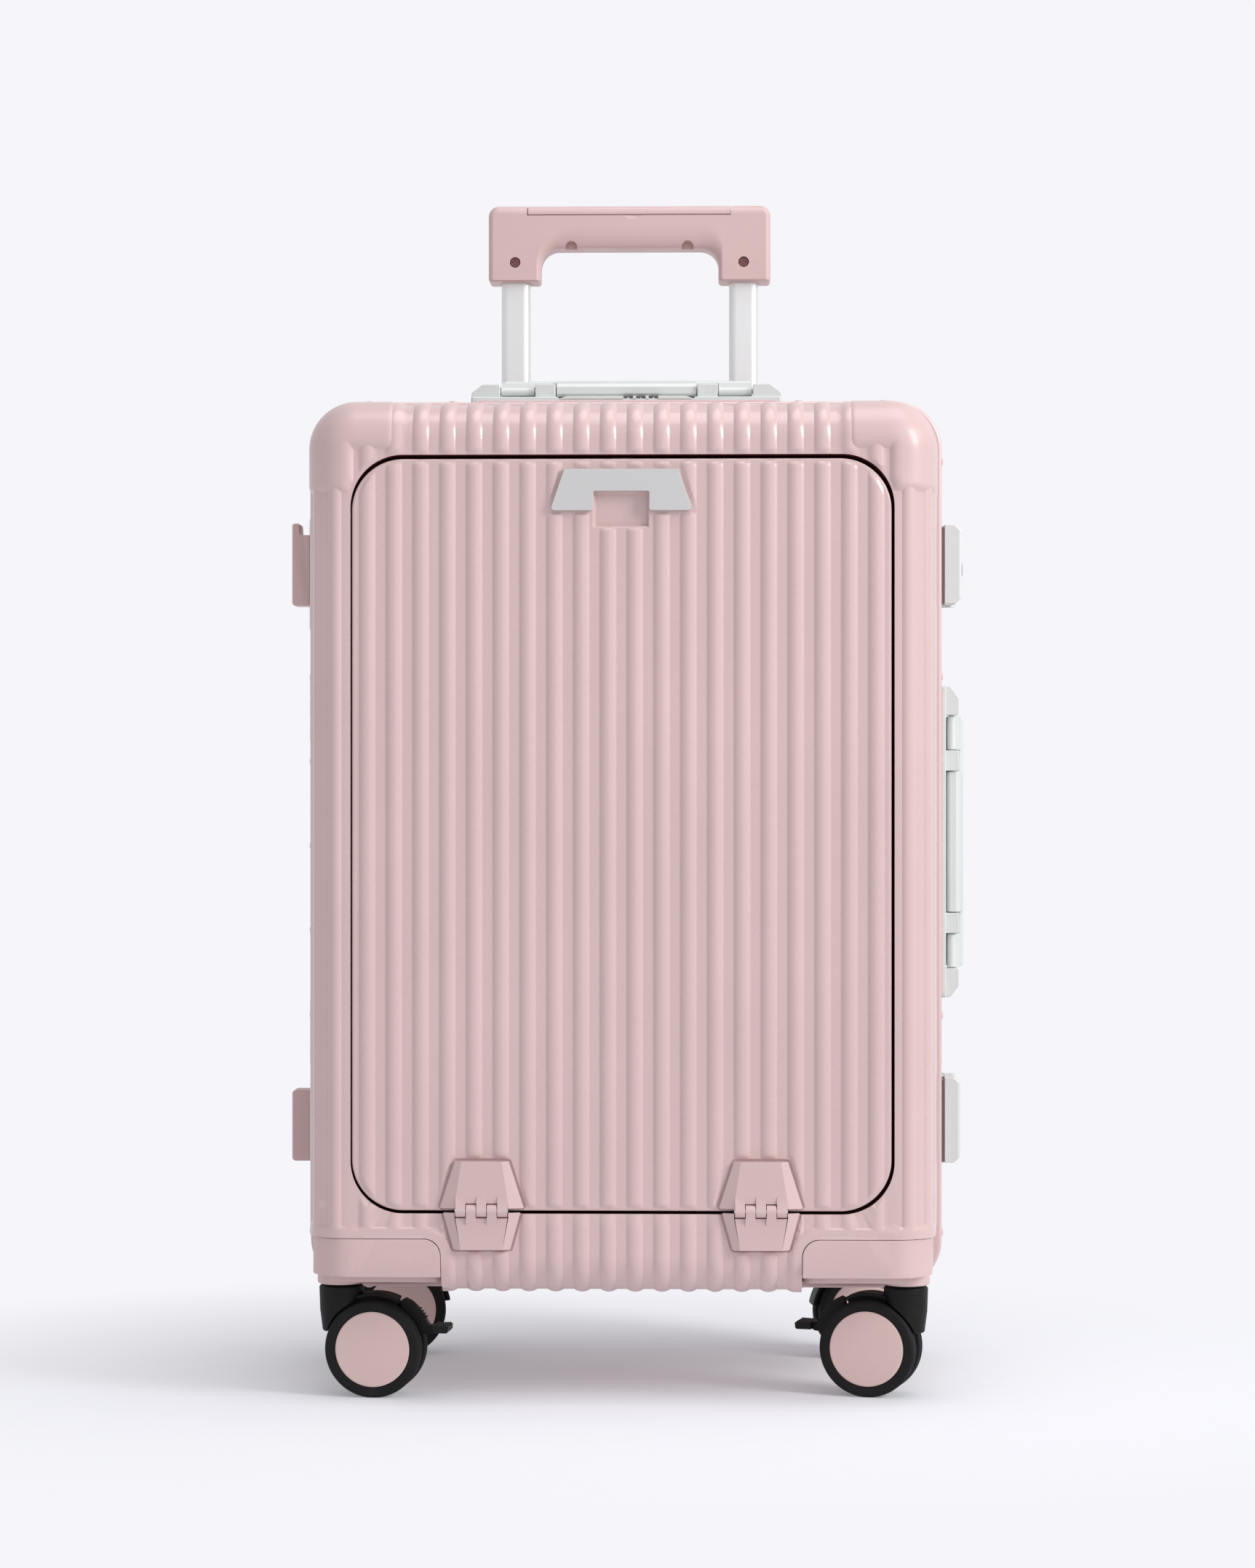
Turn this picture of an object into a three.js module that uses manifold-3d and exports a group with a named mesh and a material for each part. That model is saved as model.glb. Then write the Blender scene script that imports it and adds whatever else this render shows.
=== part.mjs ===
// A cabin-size hard-shell suitcase with an aluminium-type frame, a front door and four twin-wheel casters.
// Millimetres. +X to the right seen from the front, +Y to the back, +Z up. The floor is Z = 0.
import * as THREE from "three";
import { mergeVertices } from "three/addons/utils/BufferGeometryUtils.js";
import Module from "manifold-3d";

const wasm = await Module();
wasm.setup();

// ---------- driving dimensions ----------
const PARTING_Y = -4; // plane where the front and rear cases meet
const CASE_HALF_DEPTH = 113;
const FRAME_WIDTH = 350;
const FRAME_HEIGHT = 492.5;
const FRAME_BOTTOM = 48.5;
const FRAME_STEP = 4.5; // how far the frame stands outside the shells
const FRAME_WALL = 4;
const FRONT_FRAME_DEPTH = 12;
const REAR_FRAME_DEPTH = 20;
const CORNER_RADIUS = 25; // of the shells, seen from the front
const EDGE_RADIUS = 20; // between the faces and the sides
const DRAFT = 0.085; // the shells narrow by this share of their depth
const WALL = 3;
const GAP = 0.3; // between pieces that touch
const DOOR_WIDTH = 284;
const DOOR_HEIGHT = 396;
const DOOR_BOTTOM = 103.4;
const DOOR_RADIUS = 27;
const DOOR_GAP = 1.2;
const DOOR_DEPTH = 8;
const SWIVEL_X = 151.6;
const SWIVEL_Y = 70.5;
const WHEEL_RADIUS = 26;
const WHEEL_TRAIL = 19.1;
const WHEEL_SIDES = 32;
const TROLLEY_Y = 85;
const TUBE_X = 65.8;
const TROLLEY_LIFT = 118; // how far the grip stands above its stowed place
const HANDLE_HALF_LENGTH = 86.3;
const SIDE_HANDLE_Z = 296;
const HANDLE_BACK = 15.5; // the rear frame carries handles, latches and feet from its front edge to here
const HANDLE_FRONT = -3.5;

// ---------- values worked out from them ----------
const CENTRE_Z = FRAME_BOTTOM + FRAME_HEIGHT / 2;
const FRAME_TOP = FRAME_BOTTOM + FRAME_HEIGHT;
const FRAME_HALF_WIDTH = FRAME_WIDTH / 2;
const FRAME_HALF_HEIGHT = FRAME_HEIGHT / 2;
const SHELL_HALF_WIDTH = FRAME_HALF_WIDTH - FRAME_STEP;
const SHELL_HALF_HEIGHT = FRAME_HALF_HEIGHT - FRAME_STEP;
const FRONT_FACE_Y = -CASE_HALF_DEPTH;
const DOOR_CENTRE_Z = DOOR_BOTTOM + DOOR_HEIGHT / 2;
const DOOR_TOP = DOOR_BOTTOM + DOOR_HEIGHT;
const WHEEL_CENTRE_Z = WHEEL_RADIUS * Math.cos(Math.PI / WHEEL_SIDES); // a flat of the tread is down

// ---------- materials ----------
const paint = (color, roughness, metalness = 0) => new THREE.MeshStandardMaterial({ color, roughness, metalness });
const PINK = paint(0xd9b9b9, 0.45);
const PINK_TRIM = paint(0xd6b2b3, 0.4);
const SILVER = paint(0xcfd2d3, 0.35, 0.9);
const TUBE_METAL = paint(0xdcdedf, 0.25, 0.95);
const BLACK = paint(0x1b1b1c, 0.6);
const DIAL_BLACK = paint(0x141416, 0.4);
const LINING = paint(0x4d4a50, 0.9);

// ---------- solids ----------
function solid(geometry) {
  const bare = geometry.clone();
  bare.deleteAttribute("normal");
  bare.deleteAttribute("uv");
  const merged = mergeVertices(bare, 1e-4);
  return new wasm.Manifold(
    new wasm.Mesh({
      numProp: 3,
      vertProperties: merged.attributes.position.array,
      triVerts: merged.index.array,
    }),
  );
}

function geometryOf(manifold) {
  const { vertProperties, triVerts } = manifold.getMesh();
  const geometry = new THREE.BufferGeometry();
  geometry.setAttribute("position", new THREE.BufferAttribute(new Float32Array(vertProperties), 3));
  geometry.setIndex(new THREE.BufferAttribute(new Uint32Array(triVerts), 1));
  geometry.computeVertexNormals();
  return geometry;
}

const join = (first, ...others) => others.reduce((whole, other) => whole.add(other), first);
const cut = (first, ...others) => others.reduce((whole, other) => whole.subtract(other), first);

function box(low, high) {
  const size = high.map((value, i) => value - low[i]);
  const centre = high.map((value, i) => (value + low[i]) / 2);
  return solid(new THREE.BoxGeometry(...size).translate(...centre));
}

// A round bar between two points that differ along one axis only.
function bar(radius, from, to, sides = 20) {
  const start = new THREE.Vector3(...from);
  const end = new THREE.Vector3(...to);
  const direction = end.clone().sub(start);
  const geometry = new THREE.CylinderGeometry(radius, radius, direction.length(), sides);
  const turn = new THREE.Quaternion().setFromUnitVectors(new THREE.Vector3(0, 1, 0), direction.normalize());
  const middle = start.add(end).multiplyScalar(0.5);
  return solid(geometry.applyQuaternion(turn).translate(middle.x, middle.y, middle.z));
}

function roundedRectangle(halfWidth, halfHeight, radius, centreY = 0) {
  const shape = new THREE.Shape();
  const quarter = Math.PI / 2;
  const corners = [
    [1, -1],
    [1, 1],
    [-1, 1],
    [-1, -1],
  ];
  corners.forEach(([sx, sy], i) => {
    const start = (i - 1) * quarter;
    const x = sx * (halfWidth - radius);
    const y = centreY + sy * (halfHeight - radius);
    shape.absarc(x, y, radius, start, start + quarter, false);
  });
  shape.closePath();
  return shape;
}

function polygon(points) {
  const shape = new THREE.Shape();
  points.forEach(([x, y], i) => (i ? shape.lineTo(x, y) : shape.moveTo(x, y)));
  shape.closePath();
  return shape;
}

// An outline drawn in X and Z, extruded along Y.
function slabY(shape, lowY, highY, curveSegments = 3) {
  const geometry = new THREE.ExtrudeGeometry(shape, {
    depth: highY - lowY,
    bevelEnabled: false,
    curveSegments,
  });
  return solid(geometry.rotateX(Math.PI / 2).translate(0, highY, 0));
}

// The tapered, rounded body of one case half. side is -1 in front and 1 behind, and grow moves every face out.
function caseBody(side, grow) {
  const round = EDGE_RADIUS + grow;
  const start = side < 0 ? -PARTING_Y : PARTING_Y;
  const depth = CASE_HALF_DEPTH + grow - round - start;
  const outline = roundedRectangle(SHELL_HALF_WIDTH + grow, SHELL_HALF_HEIGHT + grow, CORNER_RADIUS + grow);
  const geometry = new THREE.ExtrudeGeometry(outline, {
    depth,
    bevelThickness: round,
    bevelSize: round,
    bevelOffset: -round,
    bevelSegments: 4,
    curveSegments: 3,
  });
  const place = geometry.attributes.position;
  for (let i = 0; i < place.count; i++) {
    const inset = DRAFT * Math.max(0, place.getZ(i));
    const x = place.getX(i);
    const y = place.getY(i);
    place.setXY(i, x - Math.sign(x) * inset, y - Math.sign(y) * inset);
  }
  geometry.translate(0, 0, start);
  // The extrusion runs along +Z: a quarter turn about X points it to the front or the back.
  geometry.rotateX((-side * Math.PI) / 2);
  return solid(geometry.translate(0, 0, CENTRE_Z));
}

const FAR = 700;
const beyondY = (y, side) =>
  side < 0 ? box([-FAR, -FAR, -FAR], [FAR, y, 2 * FAR]) : box([-FAR, y, -FAR], [FAR, FAR, 2 * FAR]);

// ---------- the scene graph ----------
const suitcase = new THREE.Group();
suitcase.name = "suitcase";

function add(name, shape, material, parent = suitcase) {
  const geometry = shape.isBufferGeometry ? shape : geometryOf(shape);
  const mesh = new THREE.Mesh(geometry, material.clone());
  mesh.name = name;
  parent.add(mesh);
  return mesh;
}

// ---------- caster places ----------
const HOUSING_INNER_X = 95.4;
const HOUSING_TOP = 88.4;
const HOUSING_BOTTOM = 68.5;
const HOUSING_PROUD = 0.6;
const HOUSING_INNER_Y = 32;
const BOSS_BOTTOM = 60;
const BOSS_RADIUS = 12.5;
const NOTCH_RADIUS = 9;

// The block of space at one bottom corner: sideX and sideY pick the corner, margin widens it.
function cornerBlock(sideX, sideY, margin, top, bottom) {
  const outline = new THREE.Shape();
  const inner = HOUSING_INNER_X - margin;
  const radius = NOTCH_RADIUS;
  outline.moveTo(sideX * 200, bottom);
  outline.lineTo(sideX * 200, top);
  outline.lineTo(sideX * (inner + radius), top);
  const centre = sideX * (inner + radius);
  const from = Math.PI / 2;
  outline.absarc(centre, top - radius, radius, from, from + (sideX * Math.PI) / 2, sideX < 0);
  outline.lineTo(sideX * inner, bottom);
  outline.closePath();
  const near = HOUSING_INNER_Y - margin;
  return sideY < 0 ? slabY(outline, -150, -near) : slabY(outline, near, 150);
}

// ---------- shells ----------
function shell(side) {
  const seat = PARTING_Y + side * 2.3; // the shell's edge, behind the frame's lip
  let body = cut(caseBody(side, 0), beyondY(seat, -side), caseBody(side, -WALL));
  for (const sideX of [-1, 1]) {
    body = cut(body, cornerBlock(sideX, side, GAP, HOUSING_TOP + GAP, 0));
  }
  return body;
}

const doorOutline = (grow) =>
  roundedRectangle(DOOR_WIDTH / 2 + grow, DOOR_HEIGHT / 2 + grow, DOOR_RADIUS + grow, DOOR_CENTRE_Z);

const COLLAR_WALL = 2.5;
const REBATE_LIP = 8;
const REBATE_WALL = 2.5;
const HINGE_X = 73.4;
const HINGE_PIN_Z = 103.8;
const HINGE_PIN_Y = FRONT_FACE_Y - 2.6;
const KNUCKLE_RADIUS = 3.6;
const KNUCKLE_WIDTH = 5.5;
const KNUCKLES = 5;
const hingeReliefs = [-1, 1].map((side) => {
  const half = (KNUCKLES * KNUCKLE_WIDTH) / 2 + 0.8;
  const centre = side * HINGE_X;
  const radius = KNUCKLE_RADIUS + 0.6;
  return bar(radius, [centre - half, HINGE_PIN_Y, HINGE_PIN_Z], [centre + half, HINGE_PIN_Y, HINGE_PIN_Z], 16);
});

function frontShell() {
  const rebateY = FRONT_FACE_Y + DOOR_DEPTH + 0.6;
  const hole = slabY(doorOutline(DOOR_GAP), FRONT_FACE_Y - 5, rebateY);
  const collar = slabY(doorOutline(DOOR_GAP + COLLAR_WALL), FRONT_FACE_Y + 1, rebateY + REBATE_WALL);
  const passage = slabY(doorOutline(-REBATE_LIP), FRONT_FACE_Y - 5, rebateY + REBATE_WALL + 5);
  return cut(join(shell(-1), collar), hole, passage, ...hingeReliefs);
}

// ---------- trolley well in the top of the rear shell ----------
const WELL_HALF_WIDTH = 86;
const WELL_HALF_DEPTH = 17;
const WELL_TOP = 532;
const WELL_FLOOR_TOP = 490;
const WELL_FLOOR = 2.5;
const WELL_WALL = 2.2;
const ovalTube = (width, depth) => roundedRectangle(width / 2, depth / 2, depth / 2 - 0.01);

function tubeAt(width, depth, lowZ, highZ, sideX, curveSegments = 4) {
  const shape = ovalTube(width, depth);
  const geometry = new THREE.ExtrudeGeometry(shape, { depth: highZ - lowZ, bevelEnabled: false, curveSegments });
  return solid(geometry.translate(sideX * TUBE_X, TROLLEY_Y, lowZ));
}

function rearShell() {
  const low = [-WELL_HALF_WIDTH - GAP, TROLLEY_Y - WELL_HALF_DEPTH - GAP, 500];
  const high = [WELL_HALF_WIDTH + GAP, TROLLEY_Y + WELL_HALF_DEPTH + GAP, FAR];
  return cut(shell(1), box(low, high));
}

add("rear_shell", rearShell(), PINK);
add("front_shell", frontShell(), PINK);

// ---------- frames, with the case hinge on the left ----------
const CASE_HINGE_X = -FRAME_HALF_WIDTH + 0.8;
const CASE_HINGE_STATIONS = [190, 370];
const CASE_KNUCKLE_LENGTH = 12;
const CASE_KNUCKLE_RADIUS = 1.7;
const CASE_PIN_RADIUS = 0.7;
const GROOVE = 3.8;
const GROOVE_END = 20; // the groove runs on into the rounded corners

function frameRing(grow, lowY, highY, hole) {
  const outer = roundedRectangle(
    FRAME_HALF_WIDTH - grow,
    FRAME_HALF_HEIGHT - grow,
    CORNER_RADIUS + FRAME_STEP - grow,
    CENTRE_Z,
  );
  outer.holes.push(
    roundedRectangle(
      FRAME_HALF_WIDTH - hole,
      FRAME_HALF_HEIGHT - hole,
      CORNER_RADIUS + FRAME_STEP - hole,
      CENTRE_Z,
    ),
  );
  return slabY(outer, lowY, highY);
}

function frame(side) {
  const meet = side < 0 ? PARTING_Y - GAP : PARTING_Y;
  const depth = side < 0 ? FRONT_FRAME_DEPTH - GAP : REAR_FRAME_DEPTH;
  const span = [meet, meet + side * depth].sort((a, b) => a - b);
  const lipSpan = [meet, meet + side * 1.5].sort((a, b) => a - b);
  const wall = frameRing(0, ...span, FRAME_WALL);
  const lip = frameRing(FRAME_WALL - 2, ...lipSpan, FRAME_WALL + 5);
  const groove = solid(
    new THREE.BoxGeometry(GROOVE * Math.SQRT2, GROOVE * Math.SQRT2, FRAME_HEIGHT - 2 * GROOVE_END)
      .rotateZ(Math.PI / 4)
      .translate(-FRAME_HALF_WIDTH, PARTING_Y, CENTRE_Z),
  );
  let ring = cut(join(wall, lip), groove);
  for (const station of CASE_HINGE_STATIONS) {
    for (const place of [-1, 0, 1]) {
      const middle = station + place * CASE_KNUCKLE_LENGTH;
      const low = middle - CASE_KNUCKLE_LENGTH / 2 + 0.2;
      const high = middle + CASE_KNUCKLE_LENGTH / 2 - 0.2;
      const mine = side < 0 ? place === 0 : place !== 0;
      if (!mine) continue;
      const sleeve = bar(CASE_KNUCKLE_RADIUS, [CASE_HINGE_X, PARTING_Y, low], [CASE_HINGE_X, PARTING_Y, high], 14);
      const far = PARTING_Y + side * 4.5;
      const ys = [PARTING_Y + side * 0.3, far].sort((a, b) => a - b);
      const web = box([CASE_HINGE_X - 0.2, ys[0], low], [CASE_HINGE_X + 1.5, ys[1], high]);
      ring = join(ring, sleeve, web);
    }
  }
  const bore = CASE_PIN_RADIUS + 0.15;
  return cut(ring, bar(bore, [CASE_HINGE_X, PARTING_Y, 0], [CASE_HINGE_X, PARTING_Y, 600], 14));
}

// ---------- number dials in the top handle's base ----------
const DIAL_RADIUS = 3.2;
const DIAL_Y = 0.6;
const DIAL_Z = FRAME_TOP - 0.8;
const DIAL_WIDTH = 4.4;
const DIAL_PLACES = [1.1, 8.1, 15.1];
const DIAL_POCKET = [
  [-2.4, DIAL_Y - DIAL_RADIUS - 0.4, DIAL_Z - DIAL_RADIUS - 0.3],
  [18.6, DIAL_Y + DIAL_RADIUS + 0.4, FRAME_TOP + 10],
];

add("rear_frame", cut(frame(1), box(...DIAL_POCKET)), PINK_TRIM);
add("front_frame", frame(-1), PINK_TRIM);
add(
  "case_hinge_pin",
  bar(CASE_PIN_RADIUS, [CASE_HINGE_X, PARTING_Y, 170], [CASE_HINGE_X, PARTING_Y, 390], 12),
  SILVER,
);
DIAL_PLACES.forEach((x, i) => {
  const name = ["number_dial_left", "number_dial_middle", "number_dial_right"][i];
  const half = DIAL_WIDTH / 2;
  add(name, bar(DIAL_RADIUS, [x - half, DIAL_Y, DIAL_Z], [x + half, DIAL_Y, DIAL_Z], 20), DIAL_BLACK);
});

// ---------- corner protectors and caster housings ----------
const PROTECTOR_INNER_X = 118;
const PROTECTOR_BOTTOM = 481;
const PROTECTOR_PROUD = 1.6;
const DOOR_MARGIN = 5;

for (const [word, side] of [
  ["front", -1],
  ["rear", 1],
]) {
  const skin = cut(caseBody(side, PROTECTOR_PROUD), caseBody(side, GAP));
  const frameEdge = side < 0 ? PARTING_Y - FRONT_FRAME_DEPTH - GAP : PARTING_Y + REAR_FRAME_DEPTH + GAP;
  for (const [hand, sideX] of [
    ["left", -1],
    ["right", 1],
  ]) {
    const xs = [sideX * PROTECTOR_INNER_X, sideX * 200].sort((a, b) => a - b);
    const ys = [frameEdge, side * 150].sort((a, b) => a - b);
    const region = box([xs[0], ys[0], PROTECTOR_BOTTOM], [xs[1], ys[1], 600]);
    let cap = skin.intersect(region);
    // In front the cap keeps clear of the door; behind it leaves the flat back face free.
    cap = side < 0 ? cut(cap, slabY(doorOutline(DOOR_MARGIN), -150, -60)) : cut(cap, beyondY(CASE_HALF_DEPTH, 1));
    add(`corner_protector_${word}_${hand}`, cap, PINK_TRIM);

    const block = cornerBlock(sideX, side, 0, HOUSING_TOP, HOUSING_BOTTOM);
    const hollow = cornerBlock(sideX, side, -WALL, HOUSING_TOP + 20, HOUSING_BOTTOM + WALL);
    const outside = caseBody(side, HOUSING_PROUD).intersect(block);
    const inside = caseBody(side, HOUSING_PROUD - WALL).intersect(hollow);
    const at = [sideX * SWIVEL_X, side * SWIVEL_Y];
    const boss = bar(BOSS_RADIUS, [...at, BOSS_BOTTOM], [...at, HOUSING_BOTTOM + WALL], 24);
    add(`caster_housing_${word}_${hand}`, join(cut(outside, inside), boss), PINK_TRIM);
  }
}

// ---------- front door ----------
const POCKET_HALF_WIDTH = 14;
const POCKET_BOTTOM = 463.9;
const POCKET_TOP = 482;
const POCKET_DEPTH = 6;
const BOLT_HALF_WIDTH = 6;
const BOLT_Y = [FRONT_FACE_Y + 3.6, FRONT_FACE_Y + 7];
const BOLT_Z = [490, DOOR_TOP + 0.7];

function frontDoor() {
  const back = FRONT_FACE_Y + DOOR_DEPTH;
  const panel = slabY(doorOutline(0), FRONT_FACE_Y, back);
  const hollow = slabY(doorOutline(-WALL), FRONT_FACE_Y + WALL, back + 5);
  const rim = 2.5;
  const cupLow = [-POCKET_HALF_WIDTH - rim, FRONT_FACE_Y + 1, POCKET_BOTTOM - rim];
  const cupHigh = [POCKET_HALF_WIDTH + rim, FRONT_FACE_Y + POCKET_DEPTH + rim, POCKET_TOP + rim];
  const pocketLow = [-POCKET_HALF_WIDTH, FRONT_FACE_Y - 5, POCKET_BOTTOM];
  const pocketHigh = [POCKET_HALF_WIDTH, FRONT_FACE_Y + POCKET_DEPTH, POCKET_TOP];
  const guideLow = [-BOLT_HALF_WIDTH - 0.4, BOLT_Y[0] - 0.4, DOOR_TOP - 8];
  const guideHigh = [BOLT_HALF_WIDTH + 0.4, BOLT_Y[1] + 0.4, DOOR_TOP + 8];
  return cut(
    join(cut(panel, hollow), box(cupLow, cupHigh)),
    box(pocketLow, pocketHigh),
    box(guideLow, guideHigh),
    ...hingeReliefs,
  );
}
add("front_door", frontDoor(), PINK);

const PLATE_TOP = 493.8;
const PLATE_BOTTOM = 471.9;
const PLATE_TOP_HALF = 30;
const PLATE_BOTTOM_HALF = 37.5;
const PLATE_NOTCH_HALF = 14.7;
const PLATE_NOTCH_HEIGHT = 10.2;
const PLATE_THICKNESS = 2.2;
const plateBack = FRONT_FACE_Y - GAP;
const latchPlateOutline = polygon([
  [-PLATE_BOTTOM_HALF, PLATE_BOTTOM],
  [-PLATE_NOTCH_HALF, PLATE_BOTTOM],
  [-PLATE_NOTCH_HALF, PLATE_BOTTOM + PLATE_NOTCH_HEIGHT],
  [PLATE_NOTCH_HALF, PLATE_BOTTOM + PLATE_NOTCH_HEIGHT],
  [PLATE_NOTCH_HALF, PLATE_BOTTOM],
  [PLATE_BOTTOM_HALF, PLATE_BOTTOM],
  [PLATE_TOP_HALF, PLATE_TOP],
  [-PLATE_TOP_HALF, PLATE_TOP],
]);
add("door_latch_plate", slabY(latchPlateOutline, plateBack - PLATE_THICKNESS, plateBack), SILVER);
add(
  "door_latch_bolt",
  box([-BOLT_HALF_WIDTH, BOLT_Y[0], BOLT_Z[0]], [BOLT_HALF_WIDTH, BOLT_Y[1], BOLT_Z[1]]),
  SILVER,
);

// ---------- door hinges ----------
const LEAF_BACK = FRONT_FACE_Y - GAP;
const LEAF_FRONT = LEAF_BACK - 3;
const DOOR_PIN_RADIUS = 1.2;
const UPPER_LEAF = { top: 129.6, topHalf: 13.4, bottom: HINGE_PIN_Z + 1.2, bottomHalf: 22.1 };
const LOWER_LEAF = { top: HINGE_PIN_Z - 1.2, topHalf: 20.3, bottom: 83.2, bottomHalf: 14.9 };

function hingeLeaf(leaf, centreX, isUpper) {
  const outline = polygon([
    [centreX - leaf.bottomHalf, leaf.bottom],
    [centreX + leaf.bottomHalf, leaf.bottom],
    [centreX + leaf.topHalf, leaf.top],
    [centreX - leaf.topHalf, leaf.top],
  ]);
  let made = slabY(outline, LEAF_FRONT, LEAF_BACK);
  const pinAt = (x) => [x, HINGE_PIN_Y, HINGE_PIN_Z];
  for (let i = 0; i < KNUCKLES; i++) {
    const low = centreX + (i - KNUCKLES / 2) * KNUCKLE_WIDTH;
    const high = low + KNUCKLE_WIDTH;
    const mine = isUpper === (i % 2 === 0);
    if (mine) continue;
    made = cut(made, bar(KNUCKLE_RADIUS + 0.4, pinAt(low - 0.15), pinAt(high + 0.15), 16));
  }
  for (let i = 0; i < KNUCKLES; i++) {
    const low = centreX + (i - KNUCKLES / 2) * KNUCKLE_WIDTH + 0.15;
    const high = low + KNUCKLE_WIDTH - 0.3;
    if (isUpper !== (i % 2 === 0)) continue;
    const reach = (isUpper ? 1 : -1) * 6;
    const zs = [HINGE_PIN_Z + reach / 6, HINGE_PIN_Z + reach].sort((a, b) => a - b);
    const web = box([low, LEAF_FRONT, zs[0]], [high, LEAF_BACK, zs[1]]);
    made = join(made, bar(KNUCKLE_RADIUS, pinAt(low), pinAt(high), 16), web);
  }
  return cut(made, bar(DOOR_PIN_RADIUS + 0.2, pinAt(centreX - 40), pinAt(centreX + 40), 14));
}

for (const [hand, side] of [
  ["left", -1],
  ["right", 1],
]) {
  const x = side * HINGE_X;
  const half = (KNUCKLES * KNUCKLE_WIDTH) / 2 + 0.3;
  add(`door_hinge_upper_leaf_${hand}`, hingeLeaf(UPPER_LEAF, x, true), PINK_TRIM);
  add(`door_hinge_lower_leaf_${hand}`, hingeLeaf(LOWER_LEAF, x, false), PINK_TRIM);
  const ends = [x - half, x + half].map((at) => [at, HINGE_PIN_Y, HINGE_PIN_Z]);
  add(`door_hinge_pin_${hand}`, bar(DOOR_PIN_RADIUS, ...ends, 14), SILVER);
}

// ---------- pocket panel behind the door ----------
const PANEL_BACK = -16.5;
const PANEL_THICKNESS = 3;
const panelGrow = -WALL - 0.8;
const pocketPanel = caseBody(-1, panelGrow).intersect(
  box([-FAR, PANEL_BACK - PANEL_THICKNESS, -FAR], [FAR, PANEL_BACK, FAR]),
);
add("pocket_panel", pocketPanel, LINING);

// ---------- trolley ----------
const GRIP_HALF_WIDTH = 81.3;
const GRIP_TOP = 661.5;
const GRIP_LEG_BOTTOM = 616.5;
const GRIP_BAR_BOTTOM = 635;
const GRIP_LEG_WIDTH = 30;
const GRIP_HALF_DEPTH = 13;
const GRIP_RADIUS = 6;
const GRIP_INNER_RADIUS = 7;
const PUSH_HALF_WIDTH = 58.5;
const PUSH_HALF_DEPTH = 11;
const PUSH_BOTTOM = 646;
const SEAM_Z = 655.7;
const PUSH_TRAVEL = 4;
const INNER_TUBE = [16.8, 11.4];
const MIDDLE_TUBE = [20.2, 14.8];
const OUTER_TUBE = [23.6, 18.2];
const TUBE_CLEARANCE = 0.6;
const SOCKET_DEPTH = 12;

function trolleyGrip() {
  const outline = new THREE.Shape();
  const innerX = GRIP_HALF_WIDTH - GRIP_LEG_WIDTH;
  outline.moveTo(-GRIP_HALF_WIDTH, GRIP_LEG_BOTTOM);
  outline.lineTo(-innerX, GRIP_LEG_BOTTOM);
  outline.lineTo(-innerX, GRIP_BAR_BOTTOM - GRIP_INNER_RADIUS);
  outline.absarc(
    -innerX + GRIP_INNER_RADIUS,
    GRIP_BAR_BOTTOM - GRIP_INNER_RADIUS,
    GRIP_INNER_RADIUS,
    Math.PI,
    Math.PI / 2,
    true,
  );
  outline.absarc(
    innerX - GRIP_INNER_RADIUS,
    GRIP_BAR_BOTTOM - GRIP_INNER_RADIUS,
    GRIP_INNER_RADIUS,
    Math.PI / 2,
    0,
    true,
  );
  outline.lineTo(innerX, GRIP_LEG_BOTTOM);
  outline.lineTo(GRIP_HALF_WIDTH, GRIP_LEG_BOTTOM);
  const top = GRIP_TOP - GRIP_RADIUS;
  outline.absarc(GRIP_HALF_WIDTH - GRIP_RADIUS, top, GRIP_RADIUS, 0, Math.PI / 2, false);
  outline.absarc(-GRIP_HALF_WIDTH + GRIP_RADIUS, top, GRIP_RADIUS, Math.PI / 2, Math.PI, false);
  outline.closePath();
  const body = slabY(outline, TROLLEY_Y - GRIP_HALF_DEPTH, TROLLEY_Y + GRIP_HALF_DEPTH);
  const clear = 0.4;
  const well = box(
    [-PUSH_HALF_WIDTH - clear, TROLLEY_Y - PUSH_HALF_DEPTH - clear, PUSH_BOTTOM - PUSH_TRAVEL - 0.5],
    [PUSH_HALF_WIDTH + clear, TROLLEY_Y + PUSH_HALF_DEPTH + clear, GRIP_TOP + 5],
  );
  const shoulder = box(
    [-PUSH_HALF_WIDTH - clear, TROLLEY_Y - 20, SEAM_Z],
    [PUSH_HALF_WIDTH + clear, TROLLEY_Y + 20, GRIP_TOP + 5],
  );
  const sockets = [-1, 1].map((side) =>
    tubeAt(INNER_TUBE[0] + 2 * GAP, INNER_TUBE[1] + 2 * GAP, 600, GRIP_LEG_BOTTOM + SOCKET_DEPTH, side),
  );
  return cut(body, well, shoulder, ...sockets);
}
add("trolley_grip", trolleyGrip(), PINK_TRIM);
add(
  "trolley_push_bar",
  box(
    [-PUSH_HALF_WIDTH, TROLLEY_Y - PUSH_HALF_DEPTH, PUSH_BOTTOM],
    [PUSH_HALF_WIDTH, TROLLEY_Y + PUSH_HALF_DEPTH, GRIP_TOP],
  ),
  PINK_TRIM,
);

const OUTER_TUBE_Z = [66, WELL_FLOOR_TOP - WELL_FLOOR - GAP];
const MIDDLE_TUBE_Z = [69, WELL_FLOOR_TOP + 1.5];
const INNER_TUBE_Z = [72 + TROLLEY_LIFT, GRIP_LEG_BOTTOM + SOCKET_DEPTH - GAP];

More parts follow.
